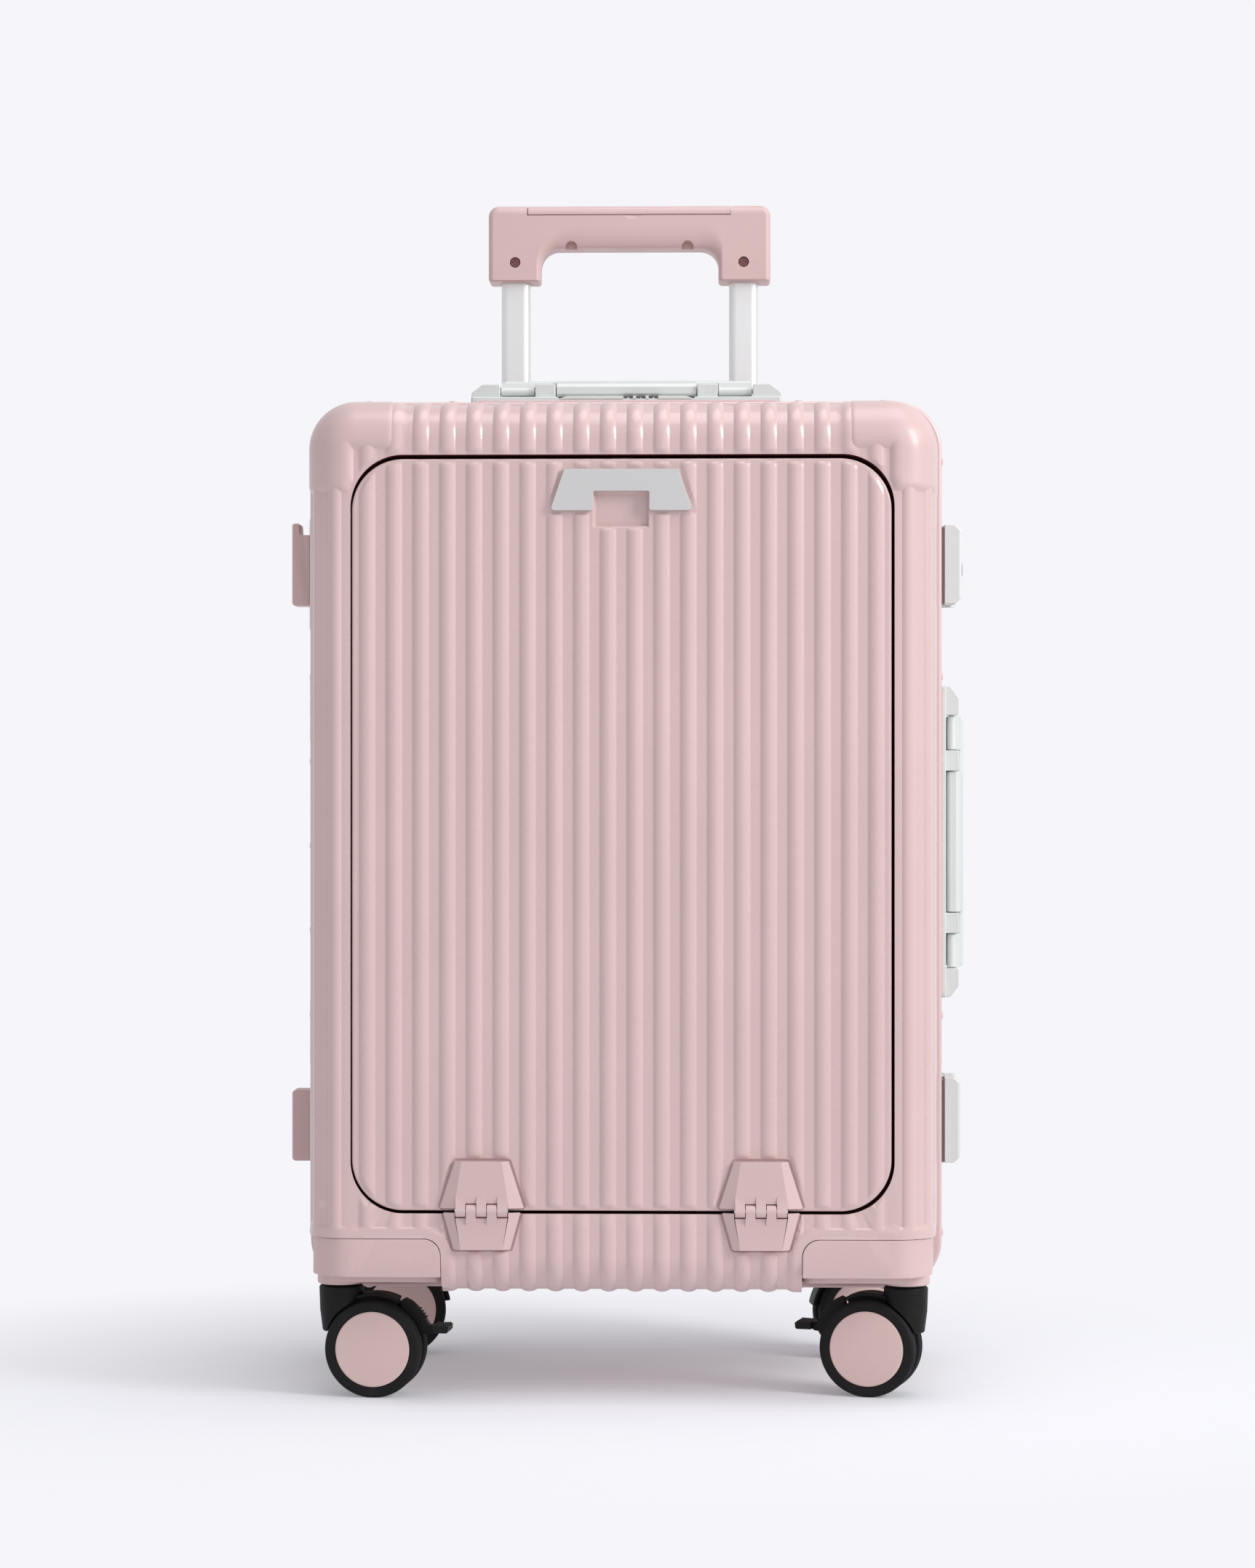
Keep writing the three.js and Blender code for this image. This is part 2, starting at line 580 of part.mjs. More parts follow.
for (const [hand, side] of [
  ["left", -1],
  ["right", 1],
]) {
  const hollow = (inside) => tubeAt(inside[0] + TUBE_CLEARANCE, inside[1] + TUBE_CLEARANCE, 0, 600, side, 3);
  const outer = cut(tubeAt(...OUTER_TUBE, ...OUTER_TUBE_Z, side, 3), hollow(MIDDLE_TUBE));
  const middle = cut(tubeAt(...MIDDLE_TUBE, ...MIDDLE_TUBE_Z, side, 3), hollow(INNER_TUBE));
  add(`trolley_outer_tube_${hand}`, outer, TUBE_METAL);
  add(`trolley_middle_tube_${hand}`, middle, TUBE_METAL);
  add(`trolley_inner_tube_${hand}`, tubeAt(...INNER_TUBE, ...INNER_TUBE_Z, side, 3), TUBE_METAL);
}

function trolleyWell() {
  const [deep, wide] = [WELL_HALF_DEPTH, WELL_HALF_WIDTH];
  const low = WELL_FLOOR_TOP - WELL_FLOOR;
  const cup = box([-wide, TROLLEY_Y - deep, low], [wide, TROLLEY_Y + deep, WELL_TOP]);
  const room = box(
    [-wide + WELL_WALL, TROLLEY_Y - deep + WELL_WALL, WELL_FLOOR_TOP],
    [wide - WELL_WALL, TROLLEY_Y + deep - WELL_WALL, WELL_TOP + 5],
  );
  const holes = [-1, 1].map((side) =>
    tubeAt(MIDDLE_TUBE[0] + TUBE_CLEARANCE, MIDDLE_TUBE[1] + TUBE_CLEARANCE, low - 5, WELL_TOP, side, 3),
  );
  return cut(cup, room, ...holes);
}
add("trolley_well", trolleyWell(), PINK_TRIM);

// ---------- carry handles: base with four lugs, and a bail that turns on barrels between them ----------
// Local frame: X along the handle, Y to the back of the case, Z away from the frame's outer face.
const BASE_THICKNESS = 2;
const LUG_HEIGHT = 9.8;
const LUG_Y = [1.5, 13];
const END_LUG_INNER = 70.4;
const INNER_LUG = [39.5, 50.8];
const PIVOT_Y = 6.5;
const PIVOT_HEIGHT = 6;
const PIVOT_BAR_RADIUS = 3;
const BARREL_RADIUS = 2.6;
const LUG_PIN_RADIUS = 1.2;
const BAIL_HEIGHTS = [3.4, 10.9];
const BAIL_REACH = 44;
const BAIL_GRIP_DEPTH = 12;
const BAIL_WINDOW_HALF = 41;
const BAIL_HALF = END_LUG_INNER - 0.5;
const LUG_CHAMFER = 6.5;
const BAIL_CLEARANCE = 1.4; // lets the bail swing up past the lugs' back edges

function handleBase(dials) {
  const edge = HANDLE_HALF_LENGTH;
  let base = box([-edge, HANDLE_FRONT, GAP], [edge, HANDLE_BACK, GAP + BASE_THICKNESS]);
  for (const side of [-1, 1]) {
    const endLug = polygon([
      [side * END_LUG_INNER, GAP + 0.5],
      [side * END_LUG_INNER, LUG_HEIGHT],
      [side * (edge - LUG_CHAMFER), LUG_HEIGHT],
      [side * edge, LUG_HEIGHT - 4.5],
      [side * edge, GAP + 0.5],
    ]);
    const inner = polygon([
      [side * INNER_LUG[0], GAP + 0.5],
      [side * INNER_LUG[0], LUG_HEIGHT],
      [side * INNER_LUG[1], LUG_HEIGHT],
      [side * INNER_LUG[1], GAP + 0.5],
    ]);
    base = join(base, slabY(endLug, ...LUG_Y), slabY(inner, ...LUG_Y));
  }
  for (const side of [-1, 1]) {
    const at = (x) => [side * x, PIVOT_Y, PIVOT_HEIGHT];
    base = join(base, bar(LUG_PIN_RADIUS, at(INNER_LUG[1] - 1), at(END_LUG_INNER + 1), 12));
  }
  if (!dials) return base;
  const [low, high] = DIAL_POCKET.map(([x, y, z]) => [x, y, z - FRAME_TOP]);
  return cut(base, box([low[0], low[1], -5], [high[0], high[1], high[2] + 20]));
}

function handleBail() {
  const [low, high] = BAIL_HEIGHTS;
  const pivot = (x) => [x, PIVOT_Y, PIVOT_HEIGHT];
  const lugBack = LUG_Y[1] + BAIL_CLEARANCE;
  const loop = box([-BAIL_HALF, lugBack, low], [BAIL_HALF, BAIL_REACH, high]);
  const window = box(
    [-BAIL_WINDOW_HALF, lugBack + 4, low - 5],
    [BAIL_WINDOW_HALF, BAIL_REACH - BAIL_GRIP_DEPTH, high + 5],
  );
  const spine = INNER_LUG[0] - 0.5;
  let bail = join(
    cut(loop, window),
    bar(PIVOT_BAR_RADIUS, pivot(-spine), pivot(spine), 20),
    box([-spine, PIVOT_Y, 4.4], [spine, lugBack + 1, 8.6]),
  );
  const bores = [];
  for (const side of [-1, 1]) {
    const xs = [side * (INNER_LUG[1] + 0.5), side * (END_LUG_INNER - 0.5)].sort((a, b) => a - b);
    bail = join(bail, bar(BARREL_RADIUS, pivot(xs[0]), pivot(xs[1]), 20));
    bail = join(bail, box([xs[0], PIVOT_Y, 4.4], [xs[1], lugBack + 1, 8.2]));
    bores.push(bar(LUG_PIN_RADIUS + 0.25, pivot(xs[0] - 0.2), pivot(xs[1] + 0.2), 12));
  }
  return cut(bail, ...bores);
}

const topHandle = new THREE.Group();
topHandle.position.z = FRAME_TOP;
suitcase.add(topHandle);
add("top_handle_base", handleBase(true), SILVER, topHandle);
add("top_handle_bail", handleBail(), SILVER, topHandle);

const sideHandle = new THREE.Group();
sideHandle.position.set(FRAME_HALF_WIDTH, 0, SIDE_HANDLE_Z);
sideHandle.rotation.y = Math.PI / 2;
suitcase.add(sideHandle);
add("side_handle_base", handleBase(false), SILVER, sideHandle);
add("side_handle_bail", handleBail(), SILVER, sideHandle);

// ---------- side latches ----------
const LATCHES = [
  { name: "upper", low: 426.6, high: 471.2, outer: 186.8 },
  { name: "lower", low: 118.2, high: 166.5, outer: 186 },
];
const LATCH_INNER_X = 177.9;
const LATCH_FRONT_Y = -14;
const LATCH_CHAMFER = 3.2;
const LATCH_PIVOT = { x: 180, y: 11.5, radius: 1.4, ear: 3.2 };
const LATCH_EAR = 5;
const KEY = { y: -3, z: 447, radius: 4.2, proud: 1, depth: 4 };

for (const { name, low, high, outer } of LATCHES) {
  const face = FRAME_HALF_WIDTH + GAP;
  const plate = box([face, HANDLE_FRONT, low], [face + 1.6, HANDLE_BACK, high]);
  const { x, y, radius, ear } = LATCH_PIVOT;
  const ears = [low, high - LATCH_EAR].map((z) =>
    join(box([face + 1, y - ear, z], [x, y + ear, z + LATCH_EAR]), bar(ear, [x, y, z], [x, y, z + LATCH_EAR])),
  );
  const pin = bar(radius, [x, y, low + 1], [x, y, high - 1], 12);
  add(`${name}_latch_base`, join(plate, ...ears, pin), SILVER);

  const outline = polygon([
    [LATCH_INNER_X, low],
    [outer - LATCH_CHAMFER, low],
    [outer, low + LATCH_CHAMFER],
    [outer, high - LATCH_CHAMFER],
    [outer - LATCH_CHAMFER, high],
    [LATCH_INNER_X, high],
  ]);
  let lever = slabY(outline, LATCH_FRONT_Y, LATCH_PIVOT.y - 3.6);
  const tongue = box(
    [LATCH_PIVOT.x - 2, LATCH_PIVOT.y - 4, low + LATCH_EAR + 0.4],
    [outer - 0.6, LATCH_PIVOT.y, high - LATCH_EAR - 0.4],
  );
  const sleeveEnds = [low + LATCH_EAR + 0.4, high - LATCH_EAR - 0.4].map((z) => [x, y, z]);
  lever = cut(join(lever, tongue, bar(2.2, ...sleeveEnds, 16)), bar(radius + 0.3, [x, y, 0], [x, y, 600], 12));
  if (name === "upper") {
    const seat = [
      [outer - KEY.depth, KEY.y, KEY.z],
      [outer + 5, KEY.y, KEY.z],
    ];
    lever = cut(lever, bar(KEY.radius + GAP, ...seat, 20));
    const ends = [
      [outer - KEY.depth + GAP, KEY.y, KEY.z],
      [outer + KEY.proud, KEY.y, KEY.z],
    ];
    add("key_cylinder", bar(KEY.radius, ...ends, 20), SILVER);
  }
  add(`${name}_latch_lever`, lever, SILVER);
}

// ---------- bag hook and side foot on the left ----------
const FOOT_OUTER = 186.1;
const FOOT_FRONT_Y = -2.4;
const SIDE_PLATE = 1;
const HOOK = { plate: [413.8, 475.7], block: [427.4, 466.8], tabTop: 473.2, tab: 4.5 };
const FOOT_Z = [118.2, 157.6];
const footFace = -FRAME_HALF_WIDTH - GAP;

const sideBlock = (inner, outer, low, high) => box([-outer, FOOT_FRONT_Y, low], [inner, HANDLE_BACK, high]);
add(
  "bag_hook",
  join(
    sideBlock(footFace, FRAME_HALF_WIDTH + GAP + SIDE_PLATE, ...HOOK.plate),
    sideBlock(footFace - 0.5, FOOT_OUTER, ...HOOK.block),
    sideBlock(-FOOT_OUTER + HOOK.tab, FOOT_OUTER, HOOK.block[0], HOOK.tabTop),
  ),
  PINK_TRIM,
);
add("side_foot", sideBlock(footFace, FOOT_OUTER, ...FOOT_Z), PINK_TRIM);

// ---------- casters ----------
// Local frame: X along the trail, Y along the axle, the swivel axis at the origin, the floor at Z = 0.
const STEM_RADIUS = 10.6;
const STEM = [34.4, 59.5];
const WEB_RADIUS = 29;
const WEB_HALF = 3.3;
const DISC = { inner: 4.0, outer: 12.2, bore: 3.4, depth: 10.6 };
const AXLE_RADIUS = 3;
const WHEEL_CLEARANCE = 1.1;
const LEVER_HALF = 2.7;
const PEDAL_HALF = 7.5;
const LEVER_PIVOT = { angle: 56, radius: 29 };
const CASTERS = [
  { name: "front_left", sideX: -1, sideY: -1, turn: -6, brake: true },
  { name: "front_right", sideX: 1, sideY: -1, turn: -15, brake: true },
  { name: "rear_left", sideX: -1, sideY: 1, turn: 10, brake: false },
  { name: "rear_right", sideX: 1, sideY: 1, turn: 10, brake: false },
];

function casterFork() {
  const centre = (y) => [WHEEL_TRAIL, y, WHEEL_CENTRE_Z];
  const stem = bar(STEM_RADIUS, [0, 0, STEM[0]], [0, 0, STEM[1]], 24);
  const spaces = [-1, 1].map((side) => {
    const ys = [side * (DISC.inner - 0.5), side * 20];
    return bar(WHEEL_RADIUS + WHEEL_CLEARANCE, centre(ys[0]), centre(ys[1]), WHEEL_SIDES);
  });
  const web = bar(WEB_RADIUS, centre(-WEB_HALF), centre(WEB_HALF), 36);
  // The web is kept above the axle, and stops short of the brake lever's slot.
  const low = box([-60, -10, -20], [90, 10, WHEEL_CENTRE_Z - 7]);
  const slot = slabY(
    polygon([
      [WHEEL_TRAIL + 8, WHEEL_CENTRE_Z - 10],
      [WHEEL_TRAIL + 60, WHEEL_CENTRE_Z - 10],
      [WHEEL_TRAIL + 60, WHEEL_CENTRE_Z + 60],
      [WHEEL_TRAIL + 12, WHEEL_CENTRE_Z + 40],
      [WHEEL_TRAIL + 12, WHEEL_CENTRE_Z + 12],
    ]),
    -10,
    10,
  );
  const axle = bar(AXLE_RADIUS, centre(-10), centre(10), 16);
  return join(cut(join(cut(stem, ...spaces), web), low, slot), axle);
}

function wheelDisc(side) {
  const profile = [
    [DISC.bore, DISC.inner],
    [24.6, DISC.inner],
    [WHEEL_RADIUS, DISC.inner + 1.2],
    [WHEEL_RADIUS, DISC.outer - 1.2],
    [25, DISC.outer],
    [20.2, DISC.outer],
    [0, DISC.outer - 0.3],
    [0, DISC.depth],
    [DISC.bore, DISC.depth],
    [DISC.bore, DISC.inner],
  ];
  const points = profile.map(([radius, along]) => new THREE.Vector2(radius, along));
  const geometry = new THREE.LatheGeometry(points, WHEEL_SIDES);
  geometry.rotateY(Math.PI / WHEEL_SIDES);
  if (side < 0) geometry.rotateX(Math.PI);
  return solid(geometry);
}

function brakeLever() {
  const angle = THREE.MathUtils.degToRad(LEVER_PIVOT.angle);
  const pivotX = WHEEL_TRAIL + LEVER_PIVOT.radius * Math.cos(angle);
  const pivotZ = WHEEL_CENTRE_Z + LEVER_PIVOT.radius * Math.sin(angle);
  const pedalX = WHEEL_TRAIL + 31.5;
  const tipX = WHEEL_TRAIL + 40.5;
  const pedalZ = WHEEL_CENTRE_Z + 8.5;
  const blade = slabY(
    polygon([
      [pivotX - 2.4, pivotZ - 3],
      [pedalX - 5.5, pedalZ],
      [pedalX - 2, pedalZ - 1.2],
      [pedalX + 1, pedalZ],
      [pedalX + 1, pedalZ + 4],
      [pedalX - 1, pedalZ + 4.6],
      [pivotX + 3, pivotZ - 1],
      [pivotX, pivotZ + 2],
      [pivotX - 2.4, pivotZ + 1],
    ]),
    -LEVER_HALF,
    LEVER_HALF,
  );
  const pedal = box([pedalX, -PEDAL_HALF, pedalZ], [tipX, PEDAL_HALF, pedalZ + 4]);
  return join(blade, pedal);
}

for (const { name, sideX, sideY, turn, brake } of CASTERS) {
  const caster = new THREE.Group();
  caster.position.set(sideX * SWIVEL_X, sideY * SWIVEL_Y, 0);
  const inward = sideX < 0 ? 0 : 180;
  caster.rotation.z = THREE.MathUtils.degToRad(inward + turn);
  suitcase.add(caster);
  add(`caster_fork_${name}`, casterFork(), BLACK, caster);
  for (const [word, side] of [
    ["a", 1],
    ["b", -1],
  ]) {
    const wheel = add(`wheel_${name}_${word}`, wheelDisc(side), BLACK, caster);
    wheel.position.set(WHEEL_TRAIL, 0, WHEEL_CENTRE_Z);
  }
  if (brake) add(`brake_lever_${name}`, brakeLever(), BLACK, caster);
}

export default suitcase;
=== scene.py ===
import math

import bmesh
import bpy
import numpy as np
from mathutils import Matrix, Vector


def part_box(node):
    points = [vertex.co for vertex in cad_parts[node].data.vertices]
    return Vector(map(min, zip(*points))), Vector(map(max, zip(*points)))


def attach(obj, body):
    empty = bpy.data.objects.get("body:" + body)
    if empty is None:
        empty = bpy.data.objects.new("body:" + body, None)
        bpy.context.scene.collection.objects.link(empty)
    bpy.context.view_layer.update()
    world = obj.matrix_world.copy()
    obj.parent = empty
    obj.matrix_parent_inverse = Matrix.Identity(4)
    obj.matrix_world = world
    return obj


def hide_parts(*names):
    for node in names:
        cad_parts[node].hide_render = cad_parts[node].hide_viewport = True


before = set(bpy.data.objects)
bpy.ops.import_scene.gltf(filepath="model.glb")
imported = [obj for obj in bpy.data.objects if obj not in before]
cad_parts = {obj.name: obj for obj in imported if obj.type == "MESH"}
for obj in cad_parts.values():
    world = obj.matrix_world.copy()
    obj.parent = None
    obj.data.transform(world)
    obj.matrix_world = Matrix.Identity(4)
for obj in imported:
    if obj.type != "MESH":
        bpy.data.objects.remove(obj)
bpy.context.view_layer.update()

# ---------------------------------------------------------------- sizes, in metres
MM = 0.001
PITCH = 14.1 * MM  # from one rib to the next
RELIEF = 1.4 * MM  # how deep the grooves between ribs are
RIB_REACH = 4.3 * MM  # half the foot width of a rib
SKIN = 3.6 * MM  # shell thickness at a rib's crest
PARTING_Y = -4 * MM
EDGE_RADIUS = 20 * MM
CORNER_RADIUS = 25 * MM
DRAFT = 0.07
DOOR_GAP = 1.6 * MM
GAP_LESS_LEFT, GAP_MORE_TOP = 0.8 * MM, 0.6 * MM
DOOR_RADIUS = 27 * MM

frame_low, frame_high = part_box("rear_frame")
FRAME_TOP, FRAME_BOTTOM = frame_high.z, frame_low.z
FRAME_HALF = frame_high.x
CENTRE_Z = (FRAME_TOP + FRAME_BOTTOM) / 2
HALF_WIDTH = FRAME_HALF - 2.6 * MM
HALF_HEIGHT = (FRAME_TOP - FRAME_BOTTOM) / 2 - 3.75 * MM
FRAME_IN_X, FRAME_IN_Z = 0.8 * MM, 1.8 * MM  # the visible frame lies this far inside its envelope
TUCK = 1.5 * MM  # how far the shell reaches under the frame
HALVES = ((1, "rear_case", "rear"), (-1, "front_case", "front"))  # side, body, word
FRONT_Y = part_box("front_door")[0].y
BACK_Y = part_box("rear_shell")[1].y
door_low, door_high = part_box("front_door")
DOOR_CENTRE_Z = (door_low.z + door_high.z) / 2
DOOR_HALF = Vector((door_high.x, (door_high.z - door_low.z) / 2))
housing_low, housing_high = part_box("caster_housing_front_right")
HOUSING_X, HOUSING_TOP, HOUSING_INNER_Y = housing_low.x, housing_high.z, -housing_high.y
HOUSING_BOTTOM = HOUSING_TOP - 19.9 * MM
NOTCH = 9 * MM


# ---------------------------------------------------------------- small helpers
def smooth(value, low, high):
    t = np.clip((np.asarray(value, float) - low) / (high - low), 0, 1)
    return t * t * (3 - 2 * t)


def mm(*values):
    """Millimetres as a list of metres."""
    return [value * MM for value in values]


def linear(r, g, b):
    return tuple(((c / 255 + 0.055) / 1.055) ** 2.4 for c in (r, g, b))


def new_object(name, verts, faces):
    mesh = bpy.data.meshes.new(name)
    mesh.from_pydata([tuple(v) for v in verts], [], [tuple(f) for f in faces])
    obj = bpy.data.objects.new(name, mesh)
    bpy.context.scene.collection.objects.link(obj)
    work = bmesh.new()
    work.from_mesh(mesh)
    bmesh.ops.remove_doubles(work, verts=work.verts, dist=1e-6)
    bmesh.ops.dissolve_degenerate(work, edges=work.edges, dist=1e-7)
    bmesh.ops.recalc_face_normals(work, faces=work.faces)
    work.to_mesh(mesh)
    work.free()
    return obj


def bake(obj):
    """Replaces an object's mesh by what its modifiers make of it."""
    graph = bpy.context.evaluated_depsgraph_get()
    graph.update()
    made = bpy.data.meshes.new_from_object(obj.evaluated_get(graph))
    obj.modifiers.clear()
    old, obj.data = obj.data, made
    bpy.data.meshes.remove(old)
    return obj


def combine(obj, others, operation="DIFFERENCE"):
    for other in others:
        step = obj.modifiers.new("combine", "BOOLEAN")
        step.operation = operation
        step.solver = "MANIFOLD"
        step.object = other
        bake(obj)
    for other in others:
        bpy.data.objects.remove(other)
    return obj


def bevel(obj, width, segments=2, angle=35):
    step = obj.modifiers.new("bevel", "BEVEL")
    step.width = width
    step.segments = segments
    step.limit_method = "ANGLE"
    step.angle_limit = math.radians(angle)
    step.use_clamp_overlap = True
    bake(obj)
    return obj


def join(first, *others):
    """One mesh that holds several closed bodies."""
    work = bmesh.new()
    for obj in (first, *others):
        work.from_mesh(obj.data)
    work.to_mesh(first.data)
    work.free()
    for obj in others:
        bpy.data.objects.remove(obj)
    return first


def rounded(points, radii, steps=5):
    """A closed outline whose corners are turned into arcs."""
    out = []
    count = len(points)
    radii = radii if isinstance(radii, (list, tuple)) else [radii] * count
    for i, radius in enumerate(radii):
        before, here, after = (Vector(points[(i + k) % count]) for k in (-1, 0, 1))
        if radius <= 0:
            out.append(here)
            continue
        u, v = (before - here).normalized(), (after - here).normalized()
        half = u.angle(v) / 2
        centre = here + (u + v).normalized() * (radius / math.sin(half))
        start, end = here + u * (radius / math.tan(half)), here + v * (radius / math.tan(half))
        a, b = start - centre, end - centre
        turn = a.angle_signed(b)
        for k in range(steps + 1):
            t = -turn * k / steps
            out.append(
                centre + Vector(
                    (a.x * math.cos(t) - a.y * math.sin(t), a.x * math.sin(t) + a.y * math.cos(t))
                )
            )
    return out


def on_circle(u, v, radius, angle):
    return u + radius * math.cos(angle), v + radius * math.sin(angle)


def circle(u, v, radius, steps=28):
    return [on_circle(u, v, radius, 2 * math.pi * k / steps) for k in range(steps)]


def rectangle(x0, x1, y0, y1):
    return [(x0, y0), (x1, y0), (x1, y1), (x0, y1)]


AXES = {"x": (1, 2, 0), "y": (0, 2, 1), "z": (0, 1, 2)}


def place(u, v, along, axis):
    point = [0.0, 0.0, 0.0]
    i, j, k = AXES[axis]
    point[i], point[j], point[k] = u, v, along
    return point


def prism(outline, low, high, axis="y"):
    """An outline in the two other axes, extruded along one."""
    n = len(outline)
    verts = [place(p[0], p[1], level, axis) for level in (low, high) for p in outline]
    faces = [tuple(range(n)), tuple(range(2 * n - 1, n - 1, -1))]
    faces += [(i, (i + 1) % n, n + (i + 1) % n, n + i) for i in range(n)]
    return new_object("prism", verts, faces)


def block(x, y, z, radius=0.0, axis="y"):
    """A box from three (low, high) pairs, its corners rounded around one axis."""
    spans = {"x": x, "y": y, "z": z}
    u, v = {"x": (y, z), "y": (x, z), "z": (x, y)}[axis]
    outline = rectangle(*u, *v)
    if radius:
        outline = rounded(outline, radius)
    return prism(outline, *spans[axis], axis)


def lathe(profile, axis="z", centre=(0, 0, 0), steps=48):
    """A closed profile of (radius, along) turned around an axis."""
    verts, faces = [], []
    n = len(profile)
    for s in range(steps):
        a = 2 * math.pi * s / steps
        for radius, along in profile:
            verts.append(
                Vector(place(radius * math.cos(a), radius * math.sin(a), along, axis)) + Vector(centre)
            )
    for s in range(steps):
        t = (s + 1) % steps
        for i in range(n):
            j = (i + 1) % n
            faces.append((s * n + i, s * n + j, t * n + j, t * n + i))
    return new_object("lathe", verts, faces)


def rod(radius, low, high, axis, centre=(0, 0, 0), steps=32, chamfer=0.0):
    profile = [(0, low), (radius - chamfer, low), (radius, low + chamfer)]
    profile += [(radius, high - chamfer), (radius - chamfer, high), (0, high)]
    return lathe(profile, axis, centre, steps)


def dress(obj, material):
    obj.data.materials.clear()
    obj.data.materials.append(MATERIALS[material])


def finish_piece(obj, name, body, material, replaces=(), angle=32, weighted=True):
    """Names a piece, gives it its material and shading, and lets it ride its body."""
    obj.name = obj.data.name = name
    dress(obj, material)
    obj.data.polygons.foreach_set("use_smooth", [True] * len(obj.data.polygons))
    obj.data.set_sharp_from_angle(angle=math.radians(angle))
    if weighted:
        step = obj.modifiers.new("weighted", "WEIGHTED_NORMAL")
        step.keep_sharp = True
        step.weight = 60
    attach(obj, body)
    if replaces:
        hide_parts(*replaces)
    return obj


# ---------------------------------------------------------------- materials
class Nodes:
    """A short way to write a node tree."""

    def __init__(self, name):
        self.material = bpy.data.materials.new(name)
        self.material.use_nodes = True
        self.tree = self.material.node_tree
        self.shader = self.tree.nodes["Principled BSDF"]

    def add(self, kind, inputs=None, **settings):
        node = self.tree.nodes.new(kind)
        for key, value in settings.items():
            setattr(node, key, value)
        for key, value in (inputs or {}).items():
            if isinstance(value, bpy.types.NodeSocket):
                self.tree.links.new(value, node.inputs[key])
            else:
                node.inputs[key].default_value = value
        return node

    def noise(self, scale, detail=3.0, stretch=(1, 1, 1), roughness=0.5):
        where = self.add("ShaderNodeTexCoord").outputs["Object"]
        spread = self.add("ShaderNodeMapping", {"Vector": where, "Scale": stretch}).outputs[0]
        inputs = {"Vector": spread, "Scale": scale, "Detail": detail, "Roughness": roughness}
        return self.add("ShaderNodeTexNoise", inputs).outputs["Fac"]

    def between(self, value, low, high, out_low, out_high):
        inputs = {"Value": value, "From Min": low, "From Max": high, "To Min": out_low, "To Max": out_high}
        return self.add("ShaderNodeMapRange", inputs, clamp=True).outputs["Result"]

    def mix(self, factor, a, b):
        node = self.add("ShaderNodeMix", data_type="RGBA")
        for socket, value in ((node.inputs[0], factor), (node.inputs[6], a), (node.inputs[7], b)):
            if isinstance(value, bpy.types.NodeSocket):
                self.tree.links.new(value, socket)
            else:
                socket.default_value = value if isinstance(value, float) else (*value[:3], 1)
        return node.outputs[2]

    def multiply(self, a, b):
        return self.add("ShaderNodeMath", {0: a, 1: b}, operation="MULTIPLY").outputs[0]

    def bump(self, height, distance, strength=1.0, normal=None):
        inputs = {"Height": height, "Distance": distance, "Strength": strength}
        if normal:
            inputs["Normal"] = normal
        return self.add("ShaderNodeBump", inputs).outputs[0]

    def link(self, value, socket):
        self.tree.links.new(value, self.shader.inputs[socket])

    def constant(self, **values):
        for key, value in values.items():
            self.shader.inputs[key.replace("_", " ")].default_value = value


def plastic(name, colour, worn, rough=(0.3, 0.4), grain=1400, grain_depth=0.00003, coat=0.0, wave=0.00006):
    """Moulded, painted plastic: a fine skin over slow waves, faint mottling, scuffs and lighter edges."""
    m = Nodes(name)
    mottle = m.between(m.noise(9, 4), 0.35, 0.68, 0, 1)
    scuff = m.between(m.noise(60, 8, (1, 1, 0.25), 0.7), 0.6, 0.74, 0, 1)
    edge = m.between(m.add("ShaderNodeNewGeometry").outputs["Pointiness"], 0.53, 0.62, 0, 0.55)
    base = m.mix(mottle, tuple(c * 0.975 for c in colour), tuple(min(1, c * 1.02) for c in colour))
    base = m.mix(m.multiply(edge, m.between(scuff, 0, 1, 0.35, 1)), base, worn)
    m.link(base, "Base Color")
    m.link(m.between(m.noise(45, 6, (1, 1, 0.5), 0.65), 0.3, 0.75, *rough), "Roughness")
    slow = m.bump(m.noise(130, 2), wave, 0.8)
    m.link(m.bump(m.noise(grain, 2), grain_depth, 1.0, slow), "Normal")
    m.constant(Coat_Weight=coat, Coat_Roughness=0.09, Specular_IOR_Level=0.45)
    return m.material


def metal(name, colour, rough=(0.24, 0.36), stretch=(1, 1, 60), depth=0.00001, scale=55, metallic=1.0):
    """Brushed and clear-finished aluminium: long fine scratches, slight tarnish, worn bright edges."""
    m = Nodes(name)
    brush = m.noise(scale, 4, stretch, 0.7)
    tarnish = m.between(m.noise(14, 5), 0.4, 0.7, 0, 0.35)
    edge = m.between(m.add("ShaderNodeNewGeometry").outputs["Pointiness"], 0.52, 0.62, 0, 0.7)
    base = m.mix(tarnish, colour, tuple(c * 0.93 for c in colour))
    base = m.mix(edge, base, tuple(min(1, c * 1.08) for c in colour))
    m.link(base, "Base Color")
    m.link(m.between(brush, 0.25, 0.75, *rough), "Roughness")
    m.link(m.bump(brush, depth, 0.6), "Normal")
    m.constant(Metallic=metallic)
    return m.material


def rubber(name, colour, rough=(0.5, 0.68), grain=2200, depth=0.00004, dust=(90, 84, 82), shine=0.3):
    """Black moulded rubber or nylon with a sandblasted grain and a little floor dust in patches."""
    m = Nodes(name)
    grime = m.between(m.noise(38, 7, (1, 1, 1), 0.7), 0.55, 0.8, 0, 0.22)
    m.link(m.mix(grime, colour, linear(*dust)), "Base Color")
    m.link(m.between(m.noise(70, 5), 0.3, 0.7, *rough), "Roughness")
    m.link(m.bump(m.noise(grain, 2), depth, 0.8), "Normal")
    m.constant(Specular_IOR_Level=shine)
    return m.material


